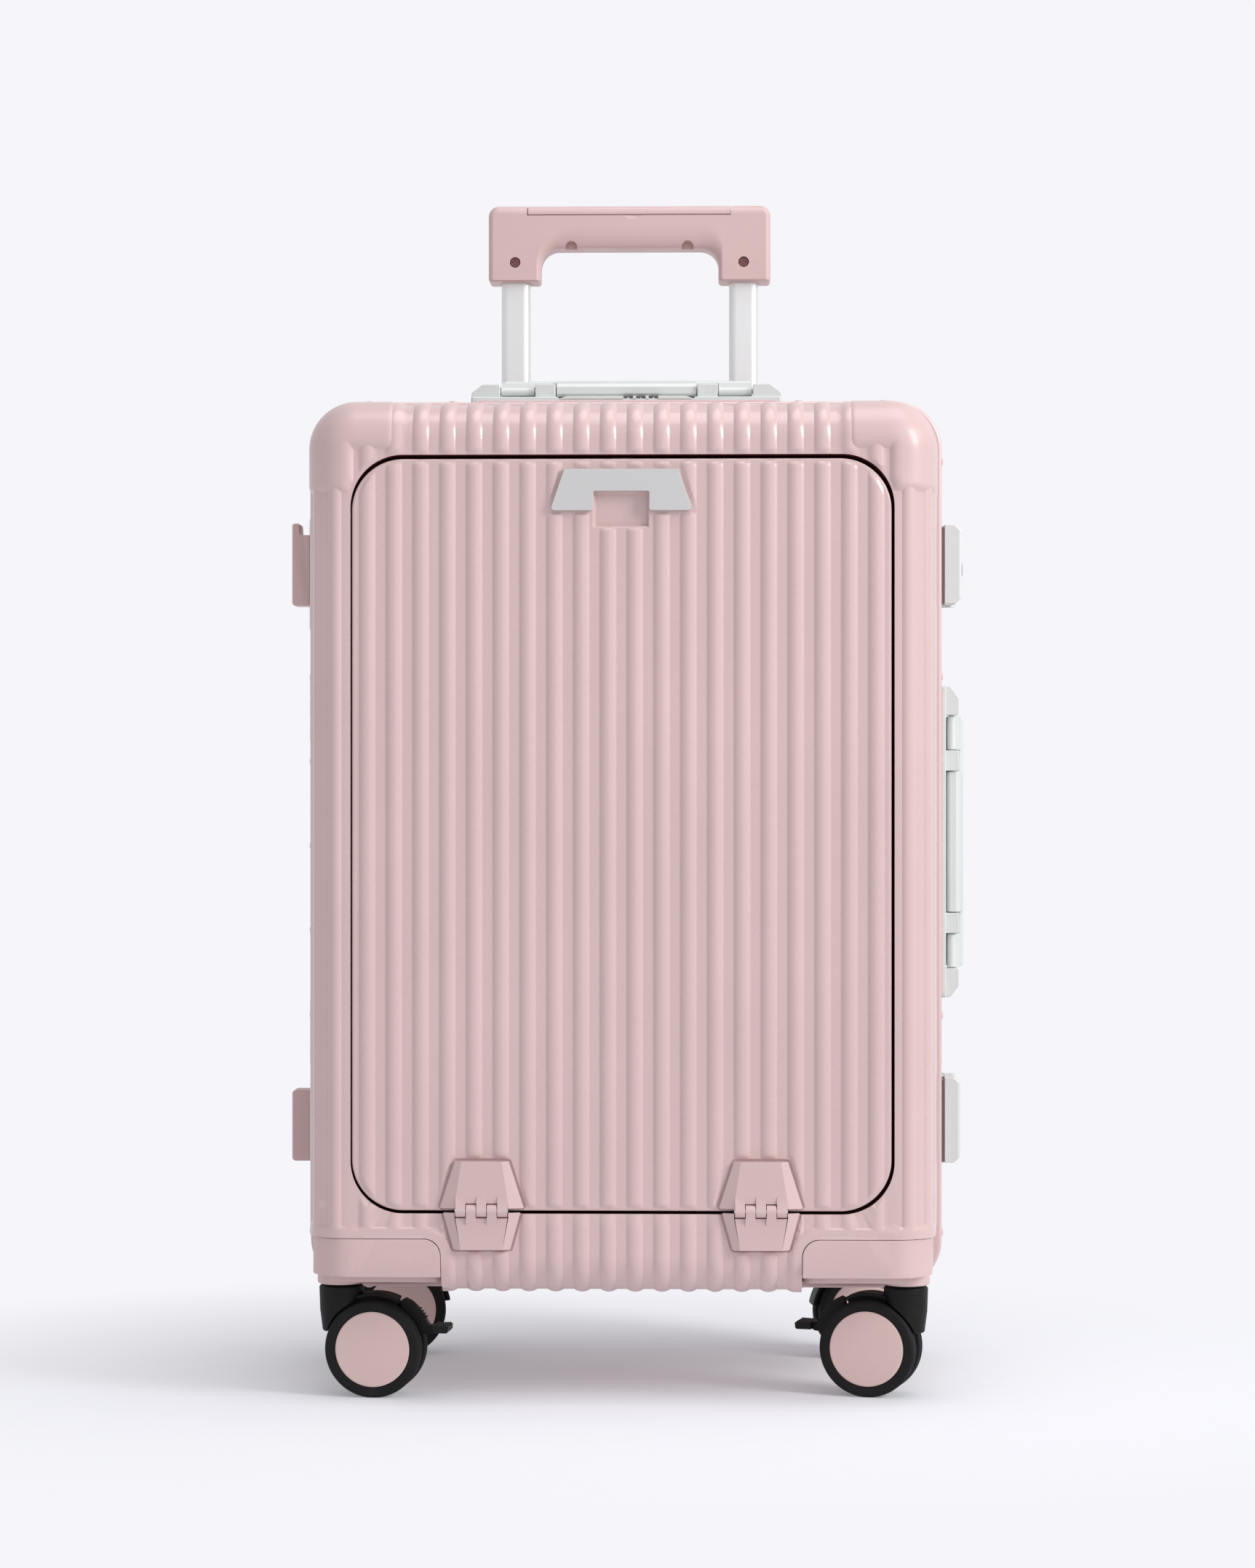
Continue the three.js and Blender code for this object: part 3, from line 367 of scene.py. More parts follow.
def fabric(name, colour, pitch=0.0009):
    """Plain-woven lining: two crossing sets of yarns, each painted lighter where it rises and darker where
    it sinks (painted light and shade).
    """
    m = Nodes(name)
    where = m.add("ShaderNodeTexCoord").outputs["Object"]
    waves = []
    for direction in ("X", "Z"):
        inputs = {"Vector": where, "Scale": 1 / (pitch * 6.4), "Distortion": 0.4, "Detail": 1.0}
        waves.append(m.add("ShaderNodeTexWave", inputs, bands_direction=direction).outputs["Fac"])
    weave_height_and_painted_shade = m.add("ShaderNodeMath", {0: waves[0], 1: waves[1]}, operation="MAXIMUM").outputs[0]
    # painted light and shade: the yarns' colour is lighter where they rise and darker where they sink
    painted_yarn_shade = m.mix(weave_height_and_painted_shade, tuple(c * 0.72 for c in colour), tuple(c * 1.15 for c in colour))
    m.link(
        m.mix(m.between(m.noise(25, 5), 0.35, 0.7, 0, 0.3), painted_yarn_shade, tuple(c * 0.8 for c in colour)),
        "Base Color"
    )
    m.link(m.between(weave_height_and_painted_shade, 0, 1, 0.95, 0.78), "Roughness")
    m.link(m.bump(weave_height_and_painted_shade, 0.0002, 0.9), "Normal")
    m.constant(Sheen_Weight=0.25, Sheen_Roughness=0.5)
    return m.material


PINK = linear(208, 180, 178)
PINK_PALE = linear(238, 216, 215)
MATERIALS = {
    "shell": plastic("shell_polycarbonate", PINK, PINK_PALE, rough=(0.24, 0.32), coat=0.26),
    "pad": plastic("corner_pad", PINK, PINK_PALE, rough=(0.3, 0.4), grain_depth=0.00006, coat=0.15),
    "trim": plastic(
        "trim_nylon", linear(207, 179, 177), PINK_PALE, rough=(0.38, 0.5), grain=1900, grain_depth=0.00005
    ),
    "frame": metal(
        "frame_anodised_pink", linear(213, 187, 186), rough=(0.38, 0.5), stretch=(1, 60, 1), metallic=0.25
    ),
    "silver": metal(
        "satin_aluminium", linear(208, 212, 210), rough=(0.42, 0.55), stretch=(1, 1, 1), scale=900,
        depth=0.00004, metallic=0.2
    ),
    "silver_x": metal(
        "satin_aluminium_across", linear(197, 197, 196), rough=(0.36, 0.46), stretch=(0.05, 1, 1),
        scale=900, metallic=0.4
    ),
    "steel": metal("bright_steel", linear(190, 190, 194), rough=(0.16, 0.26), stretch=(1, 1, 8)),
    "tube": metal(
        "drawn_tube", linear(224, 224, 223), rough=(0.3, 0.36), stretch=(30, 30, 0.5), scale=40,
        metallic=0.6, depth=0.000003
    ),
    "caster": rubber("caster_nylon", linear(14, 14, 14), rough=(0.45, 0.6), dust=(52, 50, 49), shine=0.2),
    "tyre": rubber(
        "wheel_rubber", linear(20, 20, 21), rough=(0.6, 0.75), depth=0.00006, dust=(70, 67, 65), shine=0.22
    ),
    "dial": rubber("dial_nylon", linear(26, 26, 28), rough=(0.3, 0.42), grain=2600, depth=0.00001),
    "digit": rubber(
        "digit_ink", linear(238, 238, 238), rough=(0.4, 0.5), depth=0.00001, dust=(200, 198, 196)
    ),
    # a dark seal coloured the dim reddish shade inside the door's gap, with the pink light the case bounces
    # in: painted shade and painted bounce light on a real seal
    "gap": rubber("gap_seal_painted_shade", linear(58, 22, 25), rough=(0.8, 0.95), dust=(24, 8, 8), shine=0.02),
    "rust_screw": metal("screw_bronze", linear(120, 84, 84), rough=(0.3, 0.45), stretch=(1, 1, 1)),
    # the keeper's pink darkened to the shade it sits in, between the frame and the lever: painted shade on
    # a pink part
    "keeper": metal("keeper_pink_painted_shade", linear(112, 92, 92), rough=(0.3, 0.45), stretch=(1, 1, 6), metallic=0.6),
    "cap": plastic(
        "wheel_cap", linear(219, 191, 186), PINK_PALE, rough=(0.42, 0.52), grain=1900, grain_depth=0.00004
    ),
    "webbing": fabric("zip_webbing", linear(70, 64, 70), pitch=0.0006),
    "lining": fabric("lining_weave", linear(96, 90, 96)),
}


# ---------------------------------------------------------------- the ribbed case halves
RUN_X = DOOR_HALF.x - DOOR_RADIUS  # the straight stretch shared by every ring, across
RUN_Z = DOOR_HALF.y - DOOR_RADIUS  # and up from the middle
CREST = PITCH / 2  # a groove lies on the centre line
RIB_STEPS = np.array([-4.65, -4.3, -3.9, -3.2, -2.2, -1.1, 0, 1.1, 2.2, 3.2, 3.9, 4.3, 4.65, 7.05]) * MM


def rib(distance_across, first_side_crest, side_from):
    """Rib height from 0 to 1. Past side_from the ribs count on from their own first crest."""
    u = np.abs(distance_across)
    near = np.abs((u - CREST + PITCH / 2) % PITCH - PITCH / 2)
    far = np.abs((u - first_side_crest + PITCH / 2) % PITCH - PITCH / 2)
    d = np.minimum(np.where(u > side_from, far, near), RIB_REACH)
    radius = (RIB_REACH**2 + RELIEF**2) / (2 * RELIEF)
    return (np.sqrt(radius**2 - d**2) - radius + RELIEF) / RELIEF


def ribbed_positions(low, high, crest):
    """Sample places that follow the ribs between two limits."""
    first = math.floor((low - crest) / PITCH) - 1
    last = math.ceil((high - crest) / PITCH) + 1
    places = [crest + k * PITCH + s for k in range(first, last + 1) for s in RIB_STEPS]
    inside = sorted(p for p in places if low + 0.4 * MM < p < high - 0.4 * MM)
    return np.array([low, *inside, high])


RUN_XS = ribbed_positions(-RUN_X, RUN_X, CREST)
RUN_ZS = np.linspace(-RUN_Z, RUN_Z, 46)
CORNER_STEPS = (18, 16, 26)


def corner_points(width, height, radius):
    """The outline from (RUN_X, height) round the corner to (width, RUN_Z), with its outward normals."""
    first, arc, last = CORNER_STEPS
    points, normals = [], []
    for k in range(first):
        points.append((RUN_X + (width - radius - RUN_X) * k / first, height))
        normals.append((0, 1))
    for k in range(arc):
        a = math.pi / 2 * (1 - k / arc)
        points.append((width - radius + radius * math.cos(a), height - radius + radius * math.sin(a)))
        normals.append((math.cos(a), math.sin(a)))
    for k in range(last + 1):
        points.append((width, height - radius + (RUN_Z - height + radius) * k / last))
        normals.append((1, 0))
    return np.array(points), np.array(normals)


def ring_points(width, height, radius):
    """One closed loop, from the top right corner round by the right, the bottom and the left."""
    corner, normal = corner_points(width, height, radius)
    down, left = RUN_ZS[-2:0:-1], RUN_XS[-2:0:-1]
    upside_down, mirrored = np.array((1, -1)), np.array((-1, 1))
    pieces = [(corner, normal)]
    pieces.append((np.stack([np.full(len(down), width), down], 1), np.tile((1.0, 0.0), (len(down), 1))))
    pieces.append((corner[::-1] * upside_down, normal[::-1] * upside_down))
    pieces.append((np.stack([left, np.full(len(left), -height)], 1), np.tile((0.0, -1.0), (len(left), 1))))
    pieces.append((-corner, -normal))
    pieces.append(
        (np.stack([np.full(len(down), -width), down[::-1]], 1), np.tile((-1.0, 0.0), (len(down), 1)))
    )
    pieces.append((corner[::-1] * mirrored, normal[::-1] * mirrored))
    pieces.append(
        (np.stack([left[::-1], np.full(len(left), height)], 1), np.tile((0.0, 1.0), (len(left), 1)))
    )
    return np.concatenate([p for p, _ in pieces]), np.concatenate([n for _, n in pieces])


class CaseHalf:
    """The smooth surface of one case half, on rings from the parting edge to the middle of its face."""

    def __init__(self, side, narrower=0.0, taller=0.0):
        self.side = side
        self.width, self.height = HALF_WIDTH - narrower, HALF_HEIGHT + taller
        self.start = PARTING_Y * side  # how far the parting plane lies out from Y = 0
        self.depth = (FRONT_Y * side if side < 0 else BACK_Y) - EDGE_RADIUS - self.start
        self.flat_width = self.width - DRAFT * (self.depth + EDGE_RADIUS) - EDGE_RADIUS
        self.flat_height = self.flat_width - self.width + self.height
        self.turn = EDGE_RADIUS * math.pi / 2
        self.first_crest = 152 * MM if side < 0 else CREST + 10 * PITCH
        self.side_from = 144 * MM if side < 0 else 1.0

    def ring(self, unrolled):
        """Half sizes, corner radius, Y and tilt at a distance from the centre line along the surface."""
        if unrolled >= self.flat_width:
            arc = unrolled - self.flat_width
            tilt = min(arc / EDGE_RADIUS, math.pi / 2)
            beyond = max(arc - self.turn, 0)
            reach = self.depth + EDGE_RADIUS * math.cos(tilt) - beyond
            inset = DRAFT * reach + EDGE_RADIUS * (1 - math.sin(tilt))
            radius = CORNER_RADIUS - EDGE_RADIUS * (1 - math.sin(tilt))
            return self.width - inset, self.height - inset, radius, self.side * (self.start + reach), tilt
        share = (self.flat_width - unrolled) / (self.flat_width - RUN_X)
        height = self.flat_height + (RUN_Z - self.flat_height) * share
        radius = (CORNER_RADIUS - EDGE_RADIUS) * (1 - share)
        return unrolled, height, radius, self.side * (self.start + self.depth + EDGE_RADIUS), 0.0

    def surface(self, places):
        """Points, normals and the distance across the ribs, for rings at the given unrolled places."""
        points, normals, across = [], [], []
        for unrolled in places:
            width, height, radius, y, tilt = self.ring(unrolled)
            flat, out = ring_points(width, height, radius)
            points.append(np.stack([flat[:, 0], np.full(len(flat), y), flat[:, 1] + CENTRE_Z], 1))
            lift = math.cos(tilt) * self.side
            normals.append(
                np.stack(
                    [out[:, 0] * math.sin(tilt), np.full(len(flat), lift), out[:, 1] * math.sin(tilt)], 1
                )
            )
            sideways = np.abs(out[:, 0]) > 0.72
            across.append(np.where(sideways & (unrolled > self.flat_width), unrolled, np.abs(flat[:, 0])))
        return np.array(points), np.array(normals), np.array(across)

    def rest_of_face(self, y):
        """The rectangle inside the last ring: every inner point of it."""
        xs, zs = np.meshgrid(RUN_XS[1:-1], RUN_ZS[1:-1], indexing="ij")
        return np.stack([xs, np.full_like(xs, y), zs + CENTRE_Z], -1)


def door_distance(x, z):
    """How far outside the door's outline a point lies; less than 0 is inside."""
    u = np.abs(x) - (DOOR_HALF.x - DOOR_RADIUS)
    v = np.abs(z - DOOR_CENTRE_Z) - (DOOR_HALF.y - DOOR_RADIUS)
    return np.hypot(np.maximum(u, 0), np.maximum(v, 0)) + np.minimum(np.maximum(u, v), 0) - DOOR_RADIUS


def quadrant(x, z, x0, z0, radius):
    """How deep a point lies inside the region past x0 and z0, whose corner is rounded."""
    a, b = radius - (x - x0), radius - (z - z0)
    return radius - np.hypot(np.maximum(a, 0), np.maximum(b, 0)) - np.minimum(np.maximum(a, b), 0)


def case_relief(half, points, across):
    """How far the ribbed surface stands off the smooth one: 0 on a crest, -RELIEF in a groove."""
    x, y, z = np.abs(points[..., 0]), points[..., 1], points[..., 2]
    height = rib(across, half.first_crest, half.side_from)
    if half.side < 0:
        at_front = smooth(-y, -FRONT_Y - 9 * MM, -FRONT_Y - 3 * MM)
        clear = smooth(door_distance(x, z), DOOR_GAP + 0.5 * MM, DOOR_GAP + 3.0 * MM)
        height = height * (1 - at_front * (1 - clear))
        height = height * np.where(at_front > 0, clear_of_hinges(points[..., 0], z), 1)
    band = quadrant(x, -z, HOUSING_X, -HOUSING_TOP, NOTCH)
    height = np.maximum(height, smooth(band, -7.0 * MM, -5.4 * MM))
    return -RELIEF * (1 - height)


def face_grid(last, first, shape):
    """Vertex numbers over a filled face: its own ones inside, those of the last ring round the edge."""
    corner, down, left = sum(CORNER_STEPS) + 1, len(RUN_ZS) - 2, len(RUN_XS) - 2
    grid = np.zeros((left + 2, down + 2), int)
    grid[1:-1, 1:-1] = first + np.arange(shape[0] * shape[1]).reshape(shape)
    grid[-1, 1:-1][::-1] = last + corner + np.arange(down)
    grid[-1, -1], grid[-1, 0] = last, last + 2 * corner + down - 1
    low = last + 2 * corner + down
    grid[1:-1, 0][::-1] = low + np.arange(left)
    grid[0, 0] = low + left
    grid[0, 1:-1] = low + left + corner + np.arange(down)
    grid[0, -1] = low + left + 2 * corner + down - 1
    grid[1:-1, -1] = low + left + 2 * corner + down + np.arange(left)
    return grid


def grid_quads(grid):
    return np.stack([grid[:-1, :-1], grid[1:, :-1], grid[1:, 1:], grid[:-1, 1:]], -1).reshape(-1, 4)


def solid_of_rings(outer, inner, outer_fill, inner_fill):
    """A closed body between two stacks of rings. They share their first edges and end in filled faces."""
    count = outer.shape[1]
    k = np.arange(count)
    after = (k + 1) % count
    start = len(outer) * count
    faces = []
    for first, rows in ((0, len(outer)), (start, len(inner))):
        for r in range(rows - 1):
            a, b = first + r * count, first + (r + 1) * count
            faces.append(np.stack([a + k, a + after, b + after, b + k], 1))
    faces.append(np.stack([k, after, start + after, start + k], 1))
    verts = [outer.reshape(-1, 3), inner.reshape(-1, 3)]
    total = start + len(inner) * count
    for fill, last in ((outer_fill, start - count), (inner_fill, total - count)):
        verts.append(fill.reshape(-1, 3))
        faces.append(grid_quads(face_grid(last, total, fill.shape[:2])))
        total += fill.shape[0] * fill.shape[1]
    return new_object("case", np.concatenate(verts), np.concatenate(faces))


FRONT_RINGS = mm(212, 210.5, 209, 207.5, 206, 205, 204, 203.2, 202.4, 201.6, 200.8, 200, 198, 192, 183)
REAR_RINGS = 24


def ring_places(half):
    """Where the rings lie: they follow the side ribs, then the flat face's edge."""
    low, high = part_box("front_frame" if half.side < 0 else "rear_frame")
    edge = half.flat_width + half.turn + half.depth - (high.y - low.y) + TUCK
    wall = ribbed_positions(half.flat_width, edge, half.first_crest)[::-1]
    if half.side < 0:
        share = (half.flat_height - np.array(FRONT_RINGS)) / (half.flat_height - RUN_Z)
        inner = half.flat_width - share[share > 0.01] * (half.flat_width - RUN_X)
    else:
        inner = np.linspace(half.flat_width, RUN_X, REAR_RINGS)[1:-1]
    return np.concatenate([wall, inner, [RUN_X]])


def every(step, places):
    """Numbers of the rings that an inner, plain skin keeps."""
    return [0, *range(2, len(places) - 1, step), len(places) - 1]


def smooth_case(half, grow, thickness):
    """A closed, unribbed copy of the case half, moved out by grow."""
    places = ring_places(half)
    points, normals, _ = half.surface(places)
    fill = half.rest_of_face(points[-1, 0, 1])
    out = np.array([0, half.side, 0])
    inner = (points - normals * (thickness - grow))[every(4, places)]
    return solid_of_rings(
        points + normals * grow, inner, fill + out * grow, fill - out * (thickness - grow)
    )


def corner_block(side_x, side_y, margin, top, bottom):
    """The room at a bottom corner that the caster housing and wheel take."""
    inner = HOUSING_X - margin
    outline = [
        (side_x * 0.22, bottom), (side_x * 0.22, top), (side_x * inner, top), (side_x * inner, bottom)
    ]
    near = HOUSING_INNER_Y - margin
    y = (-0.15, -near) if side_y < 0 else (near, 0.15)
    return prism(rounded(outline, [0, 0, NOTCH, 0], 8), *y)


def door_opening(grow):
    """A cutter for the room that the door takes, this much larger than the door."""
    w, h = DOOR_HALF.x + grow, DOOR_HALF.y + grow
    edge = rectangle(-w + GAP_LESS_LEFT, w, DOOR_CENTRE_Z - h, DOOR_CENTRE_Z + h + GAP_MORE_TOP)
    return prism(rounded(edge, DOOR_RADIUS + grow - 1 * MM, 20), FRONT_Y - 0.02, FRONT_Y + 0.03)


def make_shell(side, body, name, node):
    """The ribbed shell of one half, open for the door or the trolley and at its lower corners."""
    half = CaseHalf(side)
    places = ring_places(half)
    points, normals, across = half.surface(places)
    outer = points + normals * case_relief(half, points, across)[..., None]
    inner = (points - normals * SKIN)[every(5, places)]
    fill = half.rest_of_face(points[-1, 0, 1])
    out = np.array([0, half.side, 0])
    height = case_relief(half, fill, fill[..., 0])
    shell = solid_of_rings(outer, inner, fill + out * height[..., None], fill - out * SKIN)
    cutters = [corner_block(s, side, 0.35 * MM, HOUSING_TOP + 0.35 * MM, 0) for s in (-1, 1)]
    if side < 0:
        cutters.append(door_opening(DOOR_GAP))
        cutters += hinge_recesses()
    else:
        low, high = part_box("trolley_well")
        cutters.append(block((low.x, high.x), (low.y, high.y), (low.z + 0.01, 0.6), 5 * MM, "z"))
    combine(shell, cutters)
    return finish_piece(shell, name, body, "shell", [node], weighted=False)


def case_room(side, depth):
    """The solid within a case half, this deep below its unribbed surface."""
    half = CaseHalf(side)
    points, normals, _ = half.surface(ring_places(half))
    within = (points - normals * depth)[::3, ::2].reshape(-1, 3)
    mesh = bmesh.new()
    for point in within:
        mesh.verts.new(point)
    hull = bmesh.ops.convex_hull(mesh, input=mesh.verts)
    inside = [v for v in hull["geom_interior"] if isinstance(v, bmesh.types.BMVert)]
    bmesh.ops.delete(mesh, geom=inside, context="VERTS")
    room = new_object("room", [], [])
    mesh.to_mesh(room.data)
    mesh.free()
    return room


def make_recess(side, body, name):
    """The walls and ceiling that close the case off round each caster housing."""
    cups = []
    for side_x in (-1, 1):
        cup = case_room(side, RELIEF + 0.5 * MM)
        combine(cup, [corner_block(side_x, side, 2.8 * MM, HOUSING_TOP + 2.8 * MM, 0)], "INTERSECT")
        combine(cup, [corner_block(side_x, side, 0.35 * MM, HOUSING_TOP + 0.35 * MM, -0.01)])
        cups.append(cup)
    join(*cups)
    finish_piece(cups[0], name, body, "trim", angle=40, weighted=False)


PAD_X, PAD_STEP_X = 118 * MM, 140 * MM  # inner ends of a corner pad: above, and beside the door


def pad_depth(side, points, low):
    """How deep each point lies inside the outline of a corner pad."""
    x, z = np.abs(points[..., 0]), points[..., 2]
    if side > 0:
        return quadrant(x, z, PAD_X, low, 6 * MM)
    above, beside = quadrant(x, z, PAD_X, low + 22.5 * MM, 5 * MM), quadrant(x, z, PAD_STEP_X, low, 4 * MM)
    deep = np.maximum(above, beside)
    near_door = smooth(-points[..., 1], -FRONT_Y - 9 * MM, -FRONT_Y - 3 * MM)
    return np.where(near_door > 0.5, np.minimum(deep, door_distance(x, z) - DOOR_GAP - 0.6 * MM), deep)


def pad_outline(side, low):
    """What the pad is cut to, just outside the line where it has sunk between the ribs."""
    inner, step, bottom = PAD_X - 0.5 * MM, PAD_STEP_X - 0.5 * MM, low - 0.5 * MM
    if side > 0:
        return [(inner, 0.6), (inner, bottom), (0.2, bottom), (0.2, 0.6)]
    shoulder = low + 22 * MM
    return [(inner, 0.6), (inner, shoulder), (step, shoulder), (step, bottom), (0.2, bottom), (0.2, 0.6)]


def make_pad(side, side_x, body, name, node):
    """A thickened upper corner of the case: smooth, slightly proud, its edges sinking between the ribs."""
    half = CaseHalf(side)
    places = ring_places(half)
    points, normals, _ = half.surface(places)
    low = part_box(node)[0].z
    sunk, thick = RELIEF + 0.7 * MM, SKIN - 0.2 * MM
    rise = -sunk + (RELIEF + 1.1 * MM) * smooth(pad_depth(side, points, low), -0.6 * MM, 4.4 * MM)
    outer = points + normals * rise[..., None]
    inner = (points - normals * thick)[every(4, places)]
    fill = half.rest_of_face(points[-1, 0, 1])
    out = np.array([0, side, 0])
    pad = solid_of_rings(outer, inner, fill - out * sunk, fill - out * thick)
    edge_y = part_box("front_frame")[0].y if side < 0 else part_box("rear_frame")[1].y
    y = sorted((edge_y + side * 0.3 * MM, side * 0.15))
    combine(pad, [prism([(side_x * u, v) for u, v in pad_outline(side, low)], *y)], "INTERSECT")
    if side < 0:
        combine(pad, [door_opening(DOOR_GAP + 0.15 * MM)])
    return finish_piece(pad, name, body, "pad", [node], weighted=False)


def make_housing(side, side_x, body, name, node):
    """The flush corner housing over a caster: outer skin, a set-back base plate and the swivel boss."""
    half = CaseHalf(side, narrower=2.2 * MM, taller=34 * MM)  # its lower corners fall outside the block
    skin = smooth_case(half, 0.4 * MM, 3.2 * MM)
    combine(skin, [corner_block(side_x, side, 0, HOUSING_TOP, HOUSING_BOTTOM)], "INTERSECT")
    bevel(skin, 0.5 * MM, 2, 50)
    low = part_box(node)[0]
    swivel = lowest_centre(node)
    boss = rod(12.5 * MM, low.z, HOUSING_BOTTOM + 3 * MM, "z", (swivel.x, swivel.y, 0), 48, 0.6 * MM)
    set_back = 9 * MM
    plate_x = sorted((side_x * (HOUSING_X + 0.8 * MM), side_x * (swivel.x * side_x + 4 * MM)))
    plate_y = sorted((side * (HOUSING_INNER_Y + 1 * MM), side * (abs(FRONT_Y) - set_back - 7 * MM)))
    plate = block(plate_x, plate_y, (low.z + 3.5 * MM, HOUSING_BOTTOM + 4 * MM), 4 * MM, "z")
    bevel(plate, 0.8 * MM, 2)
    roof_x = sorted((side_x * (HOUSING_X + 0.6 * MM), side_x * (HALF_WIDTH - 10 * MM)))
    roof_y = sorted((side * (HOUSING_INNER_Y + 0.6 * MM), side * (abs(FRONT_Y) - 9 * MM)))
    roof = block(roof_x, roof_y, (HOUSING_BOTTOM + 3 * MM, HOUSING_BOTTOM + 6 * MM), 8 * MM, "z")
    join(skin, boss, plate, roof)
    return finish_piece(skin, name, body, "trim", [node], angle=40, weighted=False)


def lowest_centre(node):
    """The middle of a CAD node's lowest face, such as the round end of a boss or stem."""
    verts = [v.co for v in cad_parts[node].data.vertices]
    floor = min(v.z for v in verts)
    ring = [v for v in verts if v.z < floor + 0.1 * MM]
    return sum(ring, Vector()) / len(ring)


# ---------------------------------------------------------------- the door's hinges
HINGE_PIN_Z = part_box("door_hinge_pin_left")[0].z + 1.2 * MM
HINGE_PIN_Y = FRONT_Y - 2.6 * MM
LEAF_FACE_Y = FRONT_Y - 3.3 * MM
KNUCKLE_WIDTH = 5.5 * MM


LEAVES = [(hand, upper) for hand in ("left", "right") for upper in (True, False)]
LEAF_MIDDLE_ROOT = 14.4 * MM
LEAF_TIPS = {True: mm(14.2, 10.6), False: mm(14.9, 11.2)}  # half widths: the outline, its raised middle
KNUCKLE_RADIUS, KNUCKLE_ROOM, KNUCKLE_GAP = mm(3.3, 3.9, 0.16)


def leaf_outlines(hand, upper):
    """The outer outline of a leaf and the narrower one of its raised middle."""
    low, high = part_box(f"door_hinge_{'upper' if upper else 'lower'}_leaf_{hand}")
    x, wide = (low.x + high.x) / 2, (high.x - low.x) / 2
    root, tip = (HINGE_PIN_Z + 1.2 * MM, high.z) if upper else (HINGE_PIN_Z - 1.2 * MM, low.z)
    narrow, narrow_mid = LEAF_TIPS[upper]
    outer = [(x - wide, root), (x + wide, root), (x + narrow, tip), (x - narrow, tip)]
    middle = [
        (x - LEAF_MIDDLE_ROOT, root), (x + LEAF_MIDDLE_ROOT, root), (x + narrow_mid, tip),
        (x - narrow_mid, tip)
    ]
    return outer, middle


def polygon_distance(outline, x, z):
    """Distance outside a convex outline; less than 0 is inside."""
    middle = np.mean([tuple(p) for p in outline], axis=0)
    far = np.full(np.shape(x), -1.0)
    for a, b in zip(outline, [*outline[1:], outline[0]]):
        along = np.array(b) - np.array(a)
        normal = np.array((along[1], -along[0])) / np.hypot(*along)
        if np.dot(middle - np.array(a), normal) > 0:
            normal = -normal
        far = np.maximum(far, (x - a[0]) * normal[0] + (z - a[1]) * normal[1])
    return far


def clear_of_hinges(x, z):
    """0 close to a hinge leaf, 1 away from it."""
    clear = np.ones(np.shape(x))
    for leaf in LEAVES:
        clear *= smooth(polygon_distance(leaf_outlines(*leaf)[0], x, z), 1.5 * MM, 2.9 * MM)
    return clear


def hinge_recesses():
    """Cutters for the shallow pocket round each hinge."""
    cutters = []
    for hand, upper in LEAVES:
        outer, _ = leaf_outlines(hand, upper)
        grown = inset_outline(outer if upper else outer[::-1], mm(1.2) * 4, mm(-1.3) * 4, 4)
        cutters.append(prism(grown, FRONT_Y - 5 * MM, FRONT_Y + RELIEF + 0.8 * MM))
    return cutters


def leaf_knuckle(low, reach):
    """One knuckle round the pin, with the tongue that joins it to its leaf."""
    pin = (HINGE_PIN_Y, HINGE_PIN_Z)
    root = pin[1] + reach * 8 * MM
    shape = [(LEAF_FACE_Y, root), (FRONT_Y + 0.9 * MM, root), (FRONT_Y + 0.5 * MM, pin[1] + reach * MM)]
    shape += [
        on_circle(*pin, KNUCKLE_RADIUS, reach * (-0.15 * math.pi - math.pi * k / 12))
        for k in range(12)
    ]
    return prism(shape, low + KNUCKLE_GAP, low + KNUCKLE_WIDTH - KNUCKLE_GAP, "x")


def make_leaf(hand, upper):
    """A hinge leaf: a low pyramid with its own knuckles and room for those of the other leaf."""
    outer, middle = leaf_outlines(hand, upper)
    levels = [(outer, FRONT_Y + 1.6 * MM), (outer, FRONT_Y - 0.6 * MM), (middle, LEAF_FACE_Y)]
    verts = [(p[0], y, p[1]) for outline, y in levels for p in outline]
    faces = [(3, 2, 1, 0), (8, 9, 10, 11)]
    for r in (0, 4):
        faces += [(r + i, r + (i + 1) % 4, r + 4 + (i + 1) % 4, r + 4 + i) for i in range(4)]
    leaf = new_object("leaf", verts, faces)
    left = (outer[0][0] + outer[1][0]) / 2 - 2.5 * KNUCKLE_WIDTH
    rooms, knuckles = [], []
    for i in range(5):
        low = left + i * KNUCKLE_WIDTH
        if upper == (i % 2 == 0):
            knuckles.append(leaf_knuckle(low, 1 if upper else -1))
        else:
            ring = circle(HINGE_PIN_Y, HINGE_PIN_Z, KNUCKLE_ROOM)
            rooms.append(prism(ring, low - KNUCKLE_GAP, low + KNUCKLE_WIDTH + KNUCKLE_GAP, "x"))
    combine(leaf, rooms)
    combine(leaf, knuckles, "UNION")
    bevel(leaf, 0.28 * MM, 2, 20)
    word, body = ("upper", "door") if upper else ("lower", "front_case")
    node = f"door_hinge_{word}_leaf_{hand}"
    return finish_piece(leaf, f"hinge_{word}_leaf_{hand}", body, "trim", [node], angle=30)


# ---------------------------------------------------------------- the door and its latch
plate_low, plate_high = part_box("door_latch_plate")
PLATE = [(-plate_high.x, plate_low.z), (plate_high.x, plate_low.z)]
PLATE += [(30 * MM, plate_high.z), (-30 * MM, plate_high.z)]
POCKET_HALF, POCKET_DEPTH = 14 * MM, 4.2 * MM  # the finger pocket under the latch plate
POCKET_BOTTOM, POCKET_TOP = plate_low.z - 8 * MM, plate_low.z + 10.1 * MM
NEAR_EDGE = np.array([0, 0.25, 0.6, 1.1, 1.8, 2.6, 3.4]) * MM  # steps in from the door's edge
POCKET = rectangle(-POCKET_HALF, POCKET_HALF, POCKET_BOTTOM, POCKET_TOP)


